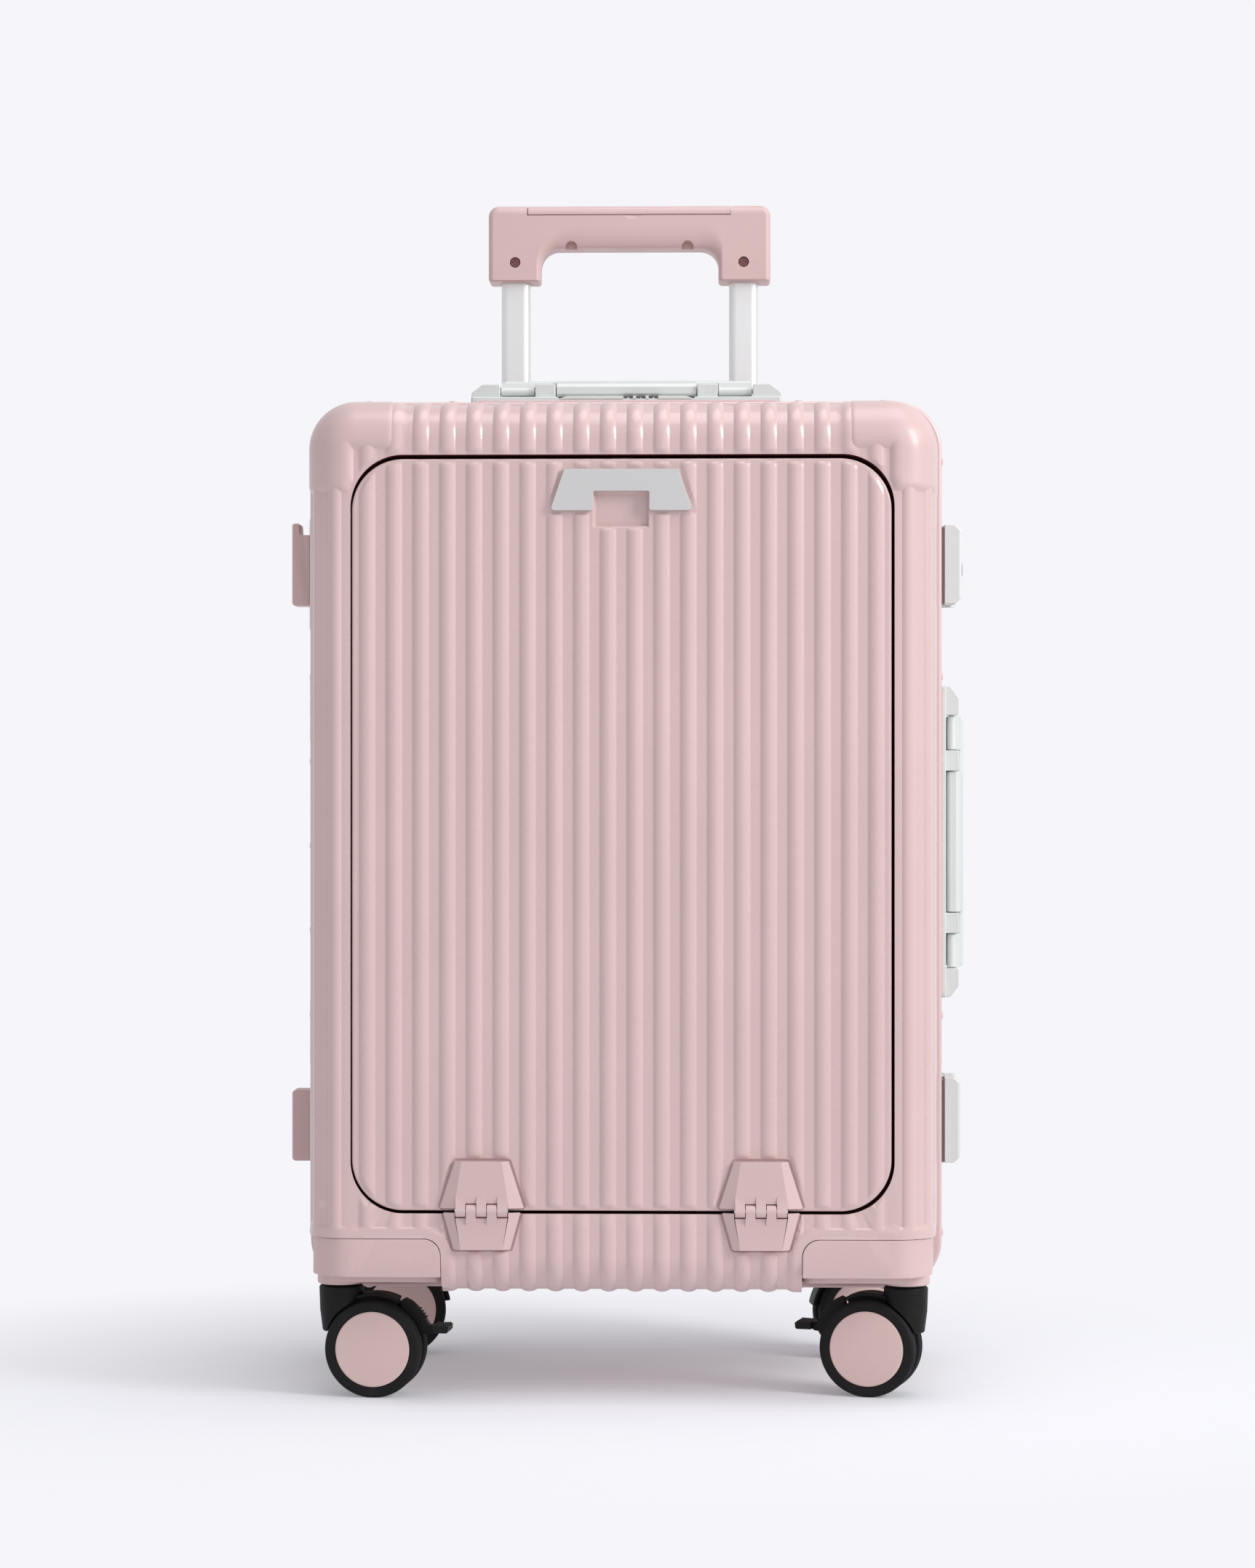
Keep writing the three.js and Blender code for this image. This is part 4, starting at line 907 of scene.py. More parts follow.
def door_face(x, z):
    """Y of the door's ribbed outer face."""
    inside = -door_distance(x, z)
    height = rib(x, 1.0, 1.0) * smooth(inside, 1.0 * MM, 3.6 * MM)
    height = height * smooth(polygon_distance(PLATE, x, z), 1.2 * MM, 2.6 * MM) * clear_of_hinges(x, z)
    pocket = polygon_distance(POCKET, x, z)
    height = height * smooth(pocket, 0.8 * MM, 2.6 * MM)
    edge = np.clip(1 - inside / (1.1 * MM), 0, 1)
    y = FRONT_Y + RELIEF * (1 - height) + 1.1 * MM * (1 - np.sqrt(1 - np.minimum(edge, 0.999) ** 2))
    depth = smooth(-pocket, -0.5 * MM, 0.7 * MM)
    return y * (1 - depth) + (FRONT_Y + POCKET_DEPTH) * depth


def door_columns():
    """Where the door's columns of points stand: at its ribs, its pocket and close together at its edge."""
    half = DOOR_HALF.x
    arc = [half - DOOR_RADIUS + DOOR_RADIUS * math.sin(a) for a in np.linspace(0.1, 1.45, 16)]
    by_edge = [half - d for d in NEAR_EDGE]
    by_pocket = [POCKET_HALF + d for d in mm(-0.7, -0.2, 0.2, 0.6, 1.6)]
    ribs = [p for p in ribbed_positions(0, half, CREST) if p > 0]
    right = sorted({round(p, 6) for p in [*arc, *by_edge, *by_pocket, *ribs]})
    xs = np.array([-p for p in reversed(right)] + [0.0] + right)
    return xs[np.concatenate([[True], np.diff(xs) > 0.12 * MM])]


def door_rows():
    """The rows, as shares of the door's half height."""
    tall, pocket = DOOR_HALF.y, POCKET_BOTTOM - DOOR_CENTRE_Z
    zs = [*(-tall + NEAR_EDGE), *np.arange(-tall + 4.2 * MM, -tall + 30 * MM, 0.9 * MM)]
    zs += [*np.linspace(-tall + 31 * MM, pocket - 3 * MM, 42)]
    zs += [*np.arange(pocket - 2.4 * MM, tall - 4.2 * MM, 0.75 * MM), *(tall - NEAR_EDGE[::-1])]
    return np.array(sorted(zs)) / tall


def make_door():
    """The ribbed door panel, hollow behind, and the dark seal round its edge, coloured as the shade in the
    door's gap (painted shade).
    """
    xs, rows = door_columns(), door_rows()
    over = np.maximum(np.abs(xs) - (DOOR_HALF.x - DOOR_RADIUS), 0)
    reach = DOOR_HALF.y - DOOR_RADIUS + np.sqrt(np.maximum(DOOR_RADIUS**2 - over**2, 0))
    x = np.repeat(xs[:, None], len(rows), 1)
    z = DOOR_CENTRE_Z + reach[:, None] * rows[None, :]
    front = np.stack([x, door_face(x, z), z], -1)
    to_pocket = polygon_distance(POCKET, x, z)
    hollow = smooth(-door_distance(x, z), 2.6 * MM, 3.4 * MM) * smooth(to_pocket, 1.6 * MM, 2.6 * MM)
    back_y = door_high.y - hollow * (door_high.y - FRONT_Y - RELIEF - 2 * MM)
    pocket_back = (to_pocket < 2 * MM) * (POCKET_DEPTH + 1.8 * MM)
    back = np.stack([x, np.maximum(back_y, FRONT_Y + pocket_back), z], -1)
    index = np.arange(x.size).reshape(x.shape)
    rim = np.array([*index[:, 0], *index[-1, 1:], *index[-2::-1, -1], *index[0, -2:0:-1]])
    after = np.roll(rim, -1)
    quads = [grid_quads(index), grid_quads(index + x.size)]
    quads.append(np.stack([rim, after, after + x.size, rim + x.size], 1))
    door = new_object(
        "door", np.concatenate([front.reshape(-1, 3), back.reshape(-1, 3)]), np.concatenate(quads)
    )
    combine(door, hinge_recesses())
    finish_piece(
        door, "door_panel", "door", "shell", ["front_door"], weighted=False, angle=50
    )
    # painted shade: the seal and the pieces behind the door's gap are coloured as the gap's shade
    seal = rim_band(-2.4 * MM, 0.12 * MM, FRONT_Y + 2.6 * MM, door_high.y + 0.1 * MM)
    finish_piece(seal, "door_edge_seal_painted_shade", "door", "gap", angle=40)


def closed_sweep(loops):
    """A closed band over loops of points, the last joined to the first."""
    count, n = len(loops[0]), len(loops)
    faces = []
    for a in range(n):
        b = (a + 1) % n
        faces += [(a * count + i, a * count + (i + 1) % count, b * count + (i + 1) % count, b * count + i)
                  for i in range(count)]
    return new_object("band", [point for loop in loops for point in loop], faces)


def rim_band(inner, outer, low_y, high_y):
    """A band that follows the door's outline, from inner to outer beyond it."""
    loops = []
    for grow, y in ((inner, low_y), (outer, low_y), (outer, high_y), (inner, high_y)):
        w, h, r = DOOR_HALF.x + grow, DOOR_HALF.y + grow, max(DOOR_RADIUS + grow, 1 * MM)
        edge = rounded(rectangle(-w, w, DOOR_CENTRE_Z - h, DOOR_CENTRE_Z + h), r, 14)
        loops.append([(p[0], y, p[1]) for p in edge])
    return closed_sweep(loops)


def make_latch_plate():
    """The six-sided plate with its finger notch, and the bolt behind it."""
    notch, top = 14.7 * MM, plate_low.z + 10.2 * MM
    outline = [
        PLATE[0], (-notch, plate_low.z), (-notch, top), (notch, top), (notch, plate_low.z), *PLATE[1:]
    ]
    radii = mm(1.6, 1.2, 0.9, 0.9, 1.2, 1.6, 0.5, 0.5)
    plate = prism(rounded(outline, radii, 4), plate_low.y + 0.9 * MM, FRONT_Y + 1.6 * MM)
    bevel(plate, 0.35 * MM, 2, 50)
    finish_piece(plate, "latch_plate", "door_latch", "silver_x", ["door_latch_plate"])
    low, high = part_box("door_latch_bolt")
    bolt = block((low.x, high.x), (low.y, high.y), (low.z, high.z), 0.6 * MM, "z")
    bevel(bolt, 0.3 * MM, 2)
    finish_piece(bolt, "latch_bolt", "door_bolt", "caster", ["door_latch_bolt"])


def make_door_frame():
    """The rebate that the door closes against, with its dark seal: both coloured as the dim reddish shade
    in the door's gap (painted shade).
    """
    back = door_high.y + 0.6 * MM
    collar = rim_band(DOOR_GAP - 0.1 * MM, DOOR_GAP + 2.4 * MM, FRONT_Y + 2.7 * MM, back + 2 * MM)
    finish_piece(collar, "door_collar", "front_case", "gap")
    lip = rim_band(-8 * MM, DOOR_GAP + 1 * MM, back, back + 2.4 * MM)
    bevel(lip, 0.3 * MM, 1)
    finish_piece(lip, "door_rebate", "front_case", "gap")


# ---------------------------------------------------------------- the two aluminium frames
CASE_HINGES = (0.19, 0.37)  # heights of the two case hinges


def profile_ring(profile):
    """Sweeps a closed profile of (grow, y) round the frame's outline."""
    tall = (FRAME_TOP - FRAME_BOTTOM) / 2
    loops = []
    for grow, y in profile:
        w, h = FRAME_HALF - FRAME_IN_X + grow, tall - FRAME_IN_Z + grow
        edge = rounded(rectangle(-w, w, CENTRE_Z - h, CENTRE_Z + h), CORNER_RADIUS + 1.6 * MM + grow, 14)
        loops.append([(p[0], y, p[1]) for p in edge])
    return closed_sweep(loops)


def frame_profile(meet, edge, sign):
    """Outer wall with a shallow groove and a rolled edge, and the lip behind the shell's rim."""
    w = sign * MM
    points = [
        (0, meet + 0.35 * w), (-0.35 * MM, meet), (-9 * MM, meet), (-9 * MM, meet + 1.5 * w),
        (-4 * MM, meet + 1.5 * w)
    ]
    points += [
        (-4 * MM, edge - 2.6 * w), (-8 * MM, edge - 2.6 * w), (-8 * MM, edge - 0.5 * w), (-4.4 * MM, edge)
    ]
    for k in range(6):
        a = math.pi / 2 * k / 5
        points.append((-1.6 * MM + 1.6 * MM * math.sin(a), edge - 1.6 * w + 1.6 * w * math.cos(a)))
    middle = (meet + edge) / 2 + (1.2 * w if sign < 0 else 2 * w)
    for offset, sink in ((1.3, 0), (0.9, 0.45), (-0.9, 0.45), (-1.3, 0)):
        points.append((-sink * MM, middle + offset * w))
    return points


def dial_slot():
    """A cutter for the room in the rear frame that the three dials turn in."""
    (low, near), (_, high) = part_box("number_dial_left"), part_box("number_dial_right")
    gap = 1.3 * MM
    y = (low.y - 0.4 * MM, near.y + 0.4 * MM)
    return block((low.x - gap, high.x + gap), y, (low.z - 0.3 * MM, FRAME_TOP + 0.01), 0.8 * MM, "z")


def case_knuckles(side):
    """This half's share of the knuckles at the two case hinges, each on its own tongue."""
    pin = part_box("case_hinge_pin")
    axis_x = (pin[0].x + pin[1].x) / 2
    parts = []
    for station in CASE_HINGES:
        for k in (0,) if side < 0 else (-1, 1):
            span = (station + k * 12 * MM - 5.8 * MM, station + k * 12 * MM + 5.8 * MM)
            parts.append(rod(1.7 * MM, *span, "z", (axis_x, PARTING_Y, 0), 20, 0.3 * MM))
            ys = sorted((PARTING_Y + side * 0.6 * MM, PARTING_Y + side * 5 * MM))
            parts.append(block((axis_x - 0.2 * MM, axis_x + 2.2 * MM), ys, span))
    return parts


def make_frame(side, body, node):
    low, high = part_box(node)
    meet, edge = (high.y, low.y) if side < 0 else (low.y, high.y)
    ring = profile_ring(frame_profile(meet, edge, side))
    groove = 3.8 * MM
    diamond = [(-FRAME_HALF - groove, PARTING_Y), (-FRAME_HALF, PARTING_Y - groove)]
    diamond += [(-FRAME_HALF + groove, PARTING_Y), (-FRAME_HALF, PARTING_Y + groove)]
    combine(ring, [prism(diamond, FRAME_BOTTOM + 20 * MM, FRAME_TOP - 20 * MM, "z")])
    if side > 0:
        combine(ring, [dial_slot()])
    join(ring, *case_knuckles(side))
    finish_piece(ring, f"{node}_profile", body, "frame", [node], angle=28)
    make_rivets(side, body, edge)


RIVETS_UP = mm(81, 200.5, 247.3, 294, 340.7, 387.4, 506)
RIVETS_ACROSS = mm(-95.5, 95.5, -142, 142)
RIVET_DOME = [
    mm(0, -0.5), mm(2.3, -0.5), mm(2.3, 0.05), mm(2.0, 0.45), mm(1.3, 0.75), mm(0.5, 0.88), mm(0, 0.9)
]


def make_rivets(side, body, edge):
    """Domed rivet heads that hold the frame to the shell."""
    y = edge - side * 3.2 * MM
    spots = [("x", s, z) for z in RIVETS_UP for s in (-1, 1)]
    spots += [("z", s, x) for s in (-1, 1) for x in RIVETS_ACROSS]
    heads = []
    for axis, s, place_at in spots:
        out = FRAME_HALF - FRAME_IN_X if axis == "x" else FRAME_TOP - CENTRE_Z - FRAME_IN_Z
        profile = [(r, s * (out + a)) for r, a in RIVET_DOME]
        centre = (0, y, place_at) if axis == "x" else (place_at, y, CENTRE_Z)
        heads.append(lathe(profile, axis, centre, 20))
    join(*heads)
    finish_piece(heads[0], f"rivets_{body}", body, "frame")


def make_handle_pads():
    """A thin raised pad on the front frame beside each carry handle."""
    low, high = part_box("front_frame")
    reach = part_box("top_handle_base")[1].x - 3 * MM
    y = (low.y + 1.4 * MM, high.y - 0.4 * MM)
    middle = sum(corner.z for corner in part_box("side_handle_base")) / 2
    on_top = block((-reach, reach), y, (FRAME_TOP - 3 * MM, FRAME_TOP - 0.9 * MM))
    on_side = block((FRAME_HALF - 2 * MM, FRAME_HALF + 0.1 * MM), y, (middle - reach, middle + reach))
    for word, pad in (("top", on_top), ("side", on_side)):
        bevel(pad, 0.6 * MM, 3)
        finish_piece(pad, f"handle_pad_{word}", "front_case", "trim")


# ---------------------------------------------------------------- soft-edged solids
def inset_outline(points, radii, distances, steps):
    """An outline with every edge moved inwards by its own distance, and its corners rounded again."""
    n = len(points)
    lines = []
    for i in range(n):
        a, b = Vector(points[i]), Vector(points[(i + 1) % n])
        along = (b - a).normalized()
        lines.append((a + Vector((-along.y, along.x)) * distances[i], along))
    moved, sizes = [], []
    for i in range(n):
        (p, u), (q, v) = lines[i - 1], lines[i]
        turn = u.cross(v)
        t = (q - p).cross(v) / turn
        moved.append(p + u * t)
        change = -distances[i] if turn > 0 else distances[i]
        sizes.append(max(radii[i] + change, 0.02 * MM))
    return rounded(moved, sizes, steps)


def soft_prism(points, radii, low, high, axis, depths, widths, arc=5, steps=6):
    """A prism whose two faces roll over into its walls. Each edge has its own width of roll."""
    if sum((b[0] - a[0]) * (b[1] + a[1]) for a, b in zip(points, [*points[1:], points[0]])) > 0:
        points, radii = points[::-1], [*radii[::-1]]
        widths = [*widths[::-1][1:], widths[-1]]
    rings = []
    for depth, level, direction in ((depths[0], low, 1), (depths[1], high, -1)):
        stack = []
        for k in range(arc + 1):
            a = math.pi / 2 * k / arc
            distances = [w * (1 - math.sin(a)) for w in widths] if depth else [0.0] * len(points)
            outline = inset_outline(points, radii, distances, steps)
            stack.append(
                [place(p[0], p[1], level + direction * depth * (1 - math.cos(a)), axis) for p in outline]
            )
            if not depth:
                break
        rings += stack if direction > 0 else stack[::-1]
    n = len(rings[0])
    faces = [tuple(range(n)), tuple(range((len(rings) - 1) * n, len(rings) * n))]
    for r in range(len(rings) - 1):
        faces += [
            (r * n + i, r * n + (i + 1) % n, (r + 1) * n + (i + 1) % n, (r + 1) * n + i)
            for i in range(n)
        ]
    return new_object("soft", [v for ring in rings for v in ring], faces)


def moved(obj, matrix):
    obj.data.transform(matrix)
    return obj


# ---------------------------------------------------------------- trolley
grip_low, grip_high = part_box("trolley_grip")
push_low, push_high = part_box("trolley_push_bar")
TROLLEY_Y = (grip_low.y + grip_high.y) / 2
GRIP_HALF = grip_high.x
GRIP_BAR_BOTTOM = grip_high.z - 24.4 * MM
LEG_WIDTH = 30 * MM
SEAM_Z = grip_high.z - 5.8 * MM
CAP_LIP = 0.7 * MM  # the grip's wall in front of and behind the push bar's cap
NOTCH_X = 33.5 * MM  # the two finger notches under the bar
SCREW_UP = 11 * MM
THUMB = [(0, -1), (6.2, -1), (5.6, -0.3), (4.4, 0.35), (2.4, 0.8), (0, 0.95)]  # a shallow scoop, in mm
TUBES = {  # width, depth and body
    "outer": (*mm(23.6, 18.2), "rear_case"),
    "middle": (*mm(20.2, 14.8), "trolley_middle"),
    "inner": (*mm(16.8, 11.4), "trolley_inner"),
}
TUBE_X = (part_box("trolley_inner_tube_right")[0].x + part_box("trolley_inner_tube_right")[1].x) / 2


def phillips_screw(radius, centre, y):
    """A pan head with a cross recess, facing the front."""
    head = rod(radius, y, y + 1.2 * MM, "y", (centre[0], 0, centre[1]), 24, 0.35 * MM)
    arm, reach, deep = 0.28 * radius, 0.68 * radius, 0.7 * MM
    across = [
        block((centre[0] - w, centre[0] + w), (y - 1 * MM, y + deep), (centre[1] - h, centre[1] + h))
        for w, h in ((arm / 1.4, reach), (reach, arm / 1.4))
    ]
    combine(head, across)
    return head


def grip_cutters(low):
    """Rooms in the grip: push bar, tube sockets, screws, finger notches and thumb scoop."""
    clear, top = 0.4 * MM, grip_high.z + 1 * MM
    wide, deep = push_high.x + clear, push_high.y - TROLLEY_Y + clear
    cutters = [
        block((-wide, wide), (grip_low.y - 1 * MM, grip_high.y + 1 * MM), (SEAM_Z, top)),
        block((-wide, wide), (TROLLEY_Y - deep, TROLLEY_Y + deep), (push_low.z - 4.6 * MM, top)),
        block((-wide, wide), (grip_low.y + CAP_LIP, grip_high.y - CAP_LIP), (SEAM_Z - 5 * MM, top)),
    ]
    for s in (-1, 1):
        x, notch = s * TUBE_X, s * NOTCH_X
        y = (TROLLEY_Y - 6 * MM, TROLLEY_Y + 6 * MM)
        cutters.append(block((x - 8.7 * MM, x + 8.7 * MM), y, (low - 1 * MM, low + 12 * MM), 5 * MM, "z"))
        hole = (x, 0, low + SCREW_UP)
        cutters.append(rod(3.05 * MM, grip_low.y - 1 * MM, grip_low.y + 2.2 * MM, "y", hole, 28))
        z = (GRIP_BAR_BOTTOM - 3 * MM, GRIP_BAR_BOTTOM + 4.2 * MM)
        groove = rounded(rectangle(notch - 3.4 * MM, notch + 3.4 * MM, *z), mm(0, 0, 3.3, 3.3), 8)
        cutters.append(prism(groove, grip_low.y - 1 * MM, grip_low.y + 9 * MM))
    squashed = Matrix.Translation((2 * MM, grip_low.y, SEAM_Z - 0.2 * MM)) @ Matrix.Diagonal(
        (*mm(1, 0.6, 0.42), 1)
    )
    cutters.append(moved(lathe(THUMB, "y", (0, 0, 0), 32), squashed))
    return cutters


def make_grip():
    """The bridge-shaped grip with its soft rolls, and the two screws in its legs."""
    inner = GRIP_HALF - LEG_WIDTH
    top, low = grip_high.z, grip_low.z + 1.2 * MM
    points = [(-GRIP_HALF, low), (-inner, low), (-inner, GRIP_BAR_BOTTOM), (inner, GRIP_BAR_BOTTOM)]
    points += [(inner, low), (GRIP_HALF, low), (GRIP_HALF, top), (-GRIP_HALF, top)]
    radii = mm(2, 2, 10.5, 10.5, 2, 2, 6, 6)
    widths = mm(1.0, 2.5, 13.0, 2.5, 1.0, 3.0, 5.0, 3.0)
    grip = soft_prism(points, radii, grip_low.y, grip_high.y, "y", mm(4.8) * 2, widths, 7, 10)
    combine(grip, grip_cutters(low))
    finish_piece(grip, "grip_body", "trolley_inner", "trim", ["trolley_grip"], angle=38)
    screws = [phillips_screw(2.8 * MM, (s * TUBE_X, low + SCREW_UP), grip_low.y + 1 * MM) for s in (-1, 1)]
    join(*screws)
    finish_piece(screws[0], "grip_screws", "trolley_inner", "rust_screw", angle=40)


def make_push_bar():
    """The cap stands just inside the grip's faces, so it can sink behind their lips when it is pressed."""
    wide, top = push_high.x, push_high.z
    front, back = grip_low.y + CAP_LIP + 0.2 * MM, grip_high.y - CAP_LIP - 0.2 * MM
    bottom = SEAM_Z + 0.6 * MM
    side_points = [(front, bottom), (back, bottom), (back, top), (front, top)]
    radii = mm(0.5, 0.5, 4.2, 4.2)
    cap = soft_prism(side_points, radii, -wide, wide, "x", mm(0.3, 0.3), mm(0.3) * 4, 2, 9)
    deep = push_high.y - TROLLEY_Y
    stem = block((-wide, wide), (TROLLEY_Y - deep, TROLLEY_Y + deep), (push_low.z, SEAM_Z + 1 * MM))
    skirt = block((-wide, wide), (front + 0.9 * MM, back - 0.9 * MM), (SEAM_Z - 0.5 * MM, bottom + 1 * MM))
    combine(cap, [stem, skirt], "UNION")
    finish_piece(cap, "push_button_bar", "push_bar", "trim", ["trolley_push_bar"], angle=38)


def tube_hole(x, wide, deep, radius, low, high, steps=12):
    """A cutter round a tube's centre line, from its half sizes."""
    edge = rectangle(x - wide, x + wide, TROLLEY_Y - deep, TROLLEY_Y + deep)
    return prism(rounded(edge, [radius] * 4, steps), low, high, "z")


def make_tube(word, hand):
    """One stage of the telescopic handle on one side; the middle stage has a black collar."""
    wide, deep, body = TUBES[word]
    x = TUBE_X if hand == "right" else -TUBE_X
    node = f"trolley_{word}_tube_{hand}"
    low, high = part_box(node)
    u, v, wall = wide / 2, deep / 2, 1.4 * MM
    edge = rectangle(x - u, x + u, TROLLEY_Y - v, TROLLEY_Y + v)
    radii = [v * 0.72] * 4
    tube = soft_prism(edge, radii, low.z, high.z, "z", mm(0.5, 0.5), mm(0.5) * 4, 2, 14)
    if word == "inner":
        hole = (x, 0, low.z + 18 * MM)  # for the spring button
        combine(tube, [rod(2.1 * MM, TROLLEY_Y - 0.02, TROLLEY_Y + 0.02, "y", hole, 20)])
    else:
        combine(tube, [tube_hole(x, u - wall, v - wall, v - 2 * MM, low.z - 0.01, high.z + 0.01, 14)])
    finish_piece(tube, f"tube_{word}_{hand}", body, "tube", [node], angle=40)
    if word == "middle":
        span = (high.z - 0.2 * MM, high.z + 1.3 * MM)
        collar = soft_prism(edge, radii, *span, "z", mm(0, 0.6), mm(0.6) * 4, 3, 12)
        combine(collar, [tube_hole(x, *mm(8.7, 6, 5.6), high.z - 0.01, high.z + 0.01)])
        finish_piece(collar, f"tube_collar_{hand}", body, "caster")


def make_well():
    """The tray in the rear shell that the grip sinks into, open at the tubes."""
    low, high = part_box("trolley_well")
    edge = rectangle(low.x, high.x, low.y, high.y)
    well = soft_prism(edge, mm(5) * 4, low.z, high.z, "z", mm(0.8, 1.0), mm(1.0) * 4, 3, 10)
    wall = 2.2 * MM
    room = rectangle(low.x + wall, high.x - wall, low.y + wall, high.y - wall)
    span = (low.z + 2.5 * MM, high.z + 5 * MM)
    cutters = [soft_prism(room, mm(4) * 4, *span, "z", mm(1.5, 0), mm(1.5) * 4, 4, 10)]
    for s in (-1, 1):
        cutters.append(tube_hole(s * TUBE_X, *mm(10.4, 7.7, 7.2), low.z - 5 * MM, high.z))
    combine(well, cutters)
    finish_piece(well, "handle_well", "rear_case", "trim", ["trolley_well"], angle=40)


# ---------------------------------------------------------------- carry handles
# Drawn flat: u along the handle, y to the back of the case, h away from the frame.
LUG_HALF = 86.3 * MM
HANDLE_TOP = 9.8 * MM
LUG_FRONT, LUG_BACK = 1.5 * MM, 13 * MM
BARREL_Y, BARREL_H = 6.5 * MM, 6 * MM
BARREL = (0, BARREL_Y, BARREL_H)
LOOP_HALF, LOOP_REACH, LOOP_BACK = 69.9 * MM, 44 * MM, LUG_BACK + 1.4 * MM
LOOP_LOW, LOOP_HIGH = 3.4 * MM, 13.0 * MM


DIALS = ("left", "middle", "right")


def handle_matrix(word):
    """From the flat drawing to the handle's place on top or on the right side."""
    if word == "top":
        return Matrix.Translation((0, 0, FRAME_TOP))
    middle = sum(corner.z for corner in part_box("side_handle_base")) / 2
    return Matrix.Translation((FRAME_HALF, 0, middle)) @ Matrix.Rotation(math.pi / 2, 4, "Y")


def lug(points, radii):
    """One of the four lugs on a handle's base plate."""
    return soft_prism(points, radii, LUG_FRONT, LUG_BACK, "y", mm(0.5, 0.5), mm(0.5) * len(points), 3, 4)


def combination_lock(plate):
    """The lock's housing with a window over each dial. Cuts the room for it into the plate too."""
    combine(plate, [block(mm(-38, 38), mm(-10, 4.3), mm(1.3, 5))])
    low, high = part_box("number_dial_left")[0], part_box("number_dial_right")[1]
    x, y = (low.x - 1.2 * MM, high.x + 1.2 * MM), (low.y - 0.3 * MM, high.y + 0.3 * MM)
    combine(plate, [block(x, y, mm(-5, 9), 0.5 * MM, "z")])
    outline = [mm(-38, 0.9), mm(38, 0.9), mm(33, 2.7), mm(-33, 2.7)]
    span = (low.y - 1.6 * MM, high.y + 0.2 * MM)
    lock = soft_prism(outline, mm(0.3) * 4, *span, "y", mm(0.4, 0), mm(0.4) * 4, 2, 3)
    windows = []
    for word in DIALS:
        a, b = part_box(f"number_dial_{word}")
        x, y = (a.x - 0.5 * MM, b.x + 0.5 * MM), (a.y - 4 * MM, b.y + 0.5 * MM)
        windows.append(block(x, y, mm(-9, 9), 0.4 * MM, "z"))
    return combine(lock, windows)


def make_handle_mount(word):
    """A handle's base: a plate with two lugs at each end, and the pins the handle turns on."""
    edge = rectangle(-LUG_HALF, LUG_HALF, -3.5 * MM, 15.5 * MM)
    plate = soft_prism(edge, mm(1.2) * 4, -2.2 * MM, 2.3 * MM, "z", mm(0, 0.6), mm(0.6) * 4, 3, 4)
    parts = [plate]
    low = 0.8 * MM
    for s in (-1, 1):
        near, far, a, b = s * 70.4 * MM, s * LUG_HALF, s * 39.5 * MM, s * 50.8 * MM
        end = [
            (near, low), (far, low), (far, 5.0 * MM), (far - s * 6.3 * MM, HANDLE_TOP), (near, HANDLE_TOP)
        ]
        parts.append(lug(end, mm(0.3, 0.3, 1.6, 2.2, 0.9)))
        parts.append(lug([(a, low), (b, low), (b, HANDLE_TOP), (a, HANDLE_TOP)], mm(0.3, 0.3, 0.9, 0.9)))
        pin = sorted((s * 49 * MM, s * 72 * MM))
        parts.append(rod(1.2 * MM, *pin, "x", BARREL, 20))
    if word == "top":
        parts.append(combination_lock(plate))
    join(*parts)
    moved(plate, handle_matrix(word))
    name = f"{word}_handle_mount"
    finish_piece(plate, name, "rear_case", "silver", [f"{word}_handle_base"], angle=38)


def make_handle_loop(word):
    """The folding loop: a flat frame, its thick spine and an arm to each barrel."""
    widths, back = mm(1.6) * 4, LOOP_BACK
    edge = rectangle(-LOOP_HALF, LOOP_HALF, back, LOOP_REACH)
    loop = soft_prism(edge, mm(2, 2, 12, 12), LOOP_LOW, LOOP_HIGH, "z", mm(1.6, 2.4), widths, 5, 10)
    hole = rectangle(-41 * MM, 41 * MM, back + 4 * MM, LOOP_REACH - 12 * MM)
    span = (LOOP_LOW - 3 * MM, LOOP_HIGH + 3 * MM)
    combine(loop, [soft_prism(hole, mm(6) * 4, *span, "z", (0, 0), widths, 1, 8)])
    bevel(loop, 0.9 * MM, 3, 50)
    spine = 39 * MM
    slope = [
        mm(5.0, 3.2), (back + 1.5 * MM, 3.9 * MM), (back + 1.5 * MM, 12.6 * MM), (back - 1 * MM, 12.8 * MM)
    ]
    slope += [mm(5.2, 10.6), mm(3.4, 8.6), mm(3.4, 4.6)]
    radii = mm(1.2, 0.2, 0.2, 1.6, 1.6, 1.6, 1.2)
    combine(loop, [soft_prism(slope, radii, -spine, spine, "x", mm(0.4, 0.4), mm(0.4) * 7, 2, 5)], "UNION")
    for s in (-1, 1):
        span = sorted((s * 51.3 * MM, s * LOOP_HALF))
        arm = [(BARREL_Y, 4.2 * MM), (back + 1.5 * MM, 4.2 * MM), (back + 1.5 * MM, 12.4 * MM)]
        arm.append((BARREL_Y + 1 * MM, 8.4 * MM))
        web = prism(arm, *span, "x")
        combine(loop, [rod(2.6 * MM, *span, "x", BARREL, 28, 0.3 * MM), web], "UNION")
        combine(loop, [rod(1.4 * MM, span[0] - 1 * MM, span[1] + 1 * MM, "x", BARREL, 20)])
    moved(loop, handle_matrix(word))
    name = f"{word}_handle_loop"
    finish_piece(loop, name, f"{word}_handle", "silver", [f"{word}_handle_bail"], angle=38)


def digit_mesh(text, size):
    """A digit as a thin solid, lying flat and centred."""
    curve = bpy.data.curves.new("digit", "FONT")
    curve.body, curve.size = text, size
    curve.align_x, curve.align_y = "CENTER", "CENTER"
    curve.extrude = 0.00006
    curve.resolution_u = 3
    writer = bpy.data.objects.new("digit", curve)
    bpy.context.scene.collection.objects.link(writer)
    graph = bpy.context.evaluated_depsgraph_get()
    graph.update()
    mesh = bpy.data.meshes.new_from_object(writer.evaluated_get(graph))
    obj = bpy.data.objects.new("digit", mesh)
    bpy.context.scene.collection.objects.link(obj)
    bpy.data.objects.remove(writer)
    return obj


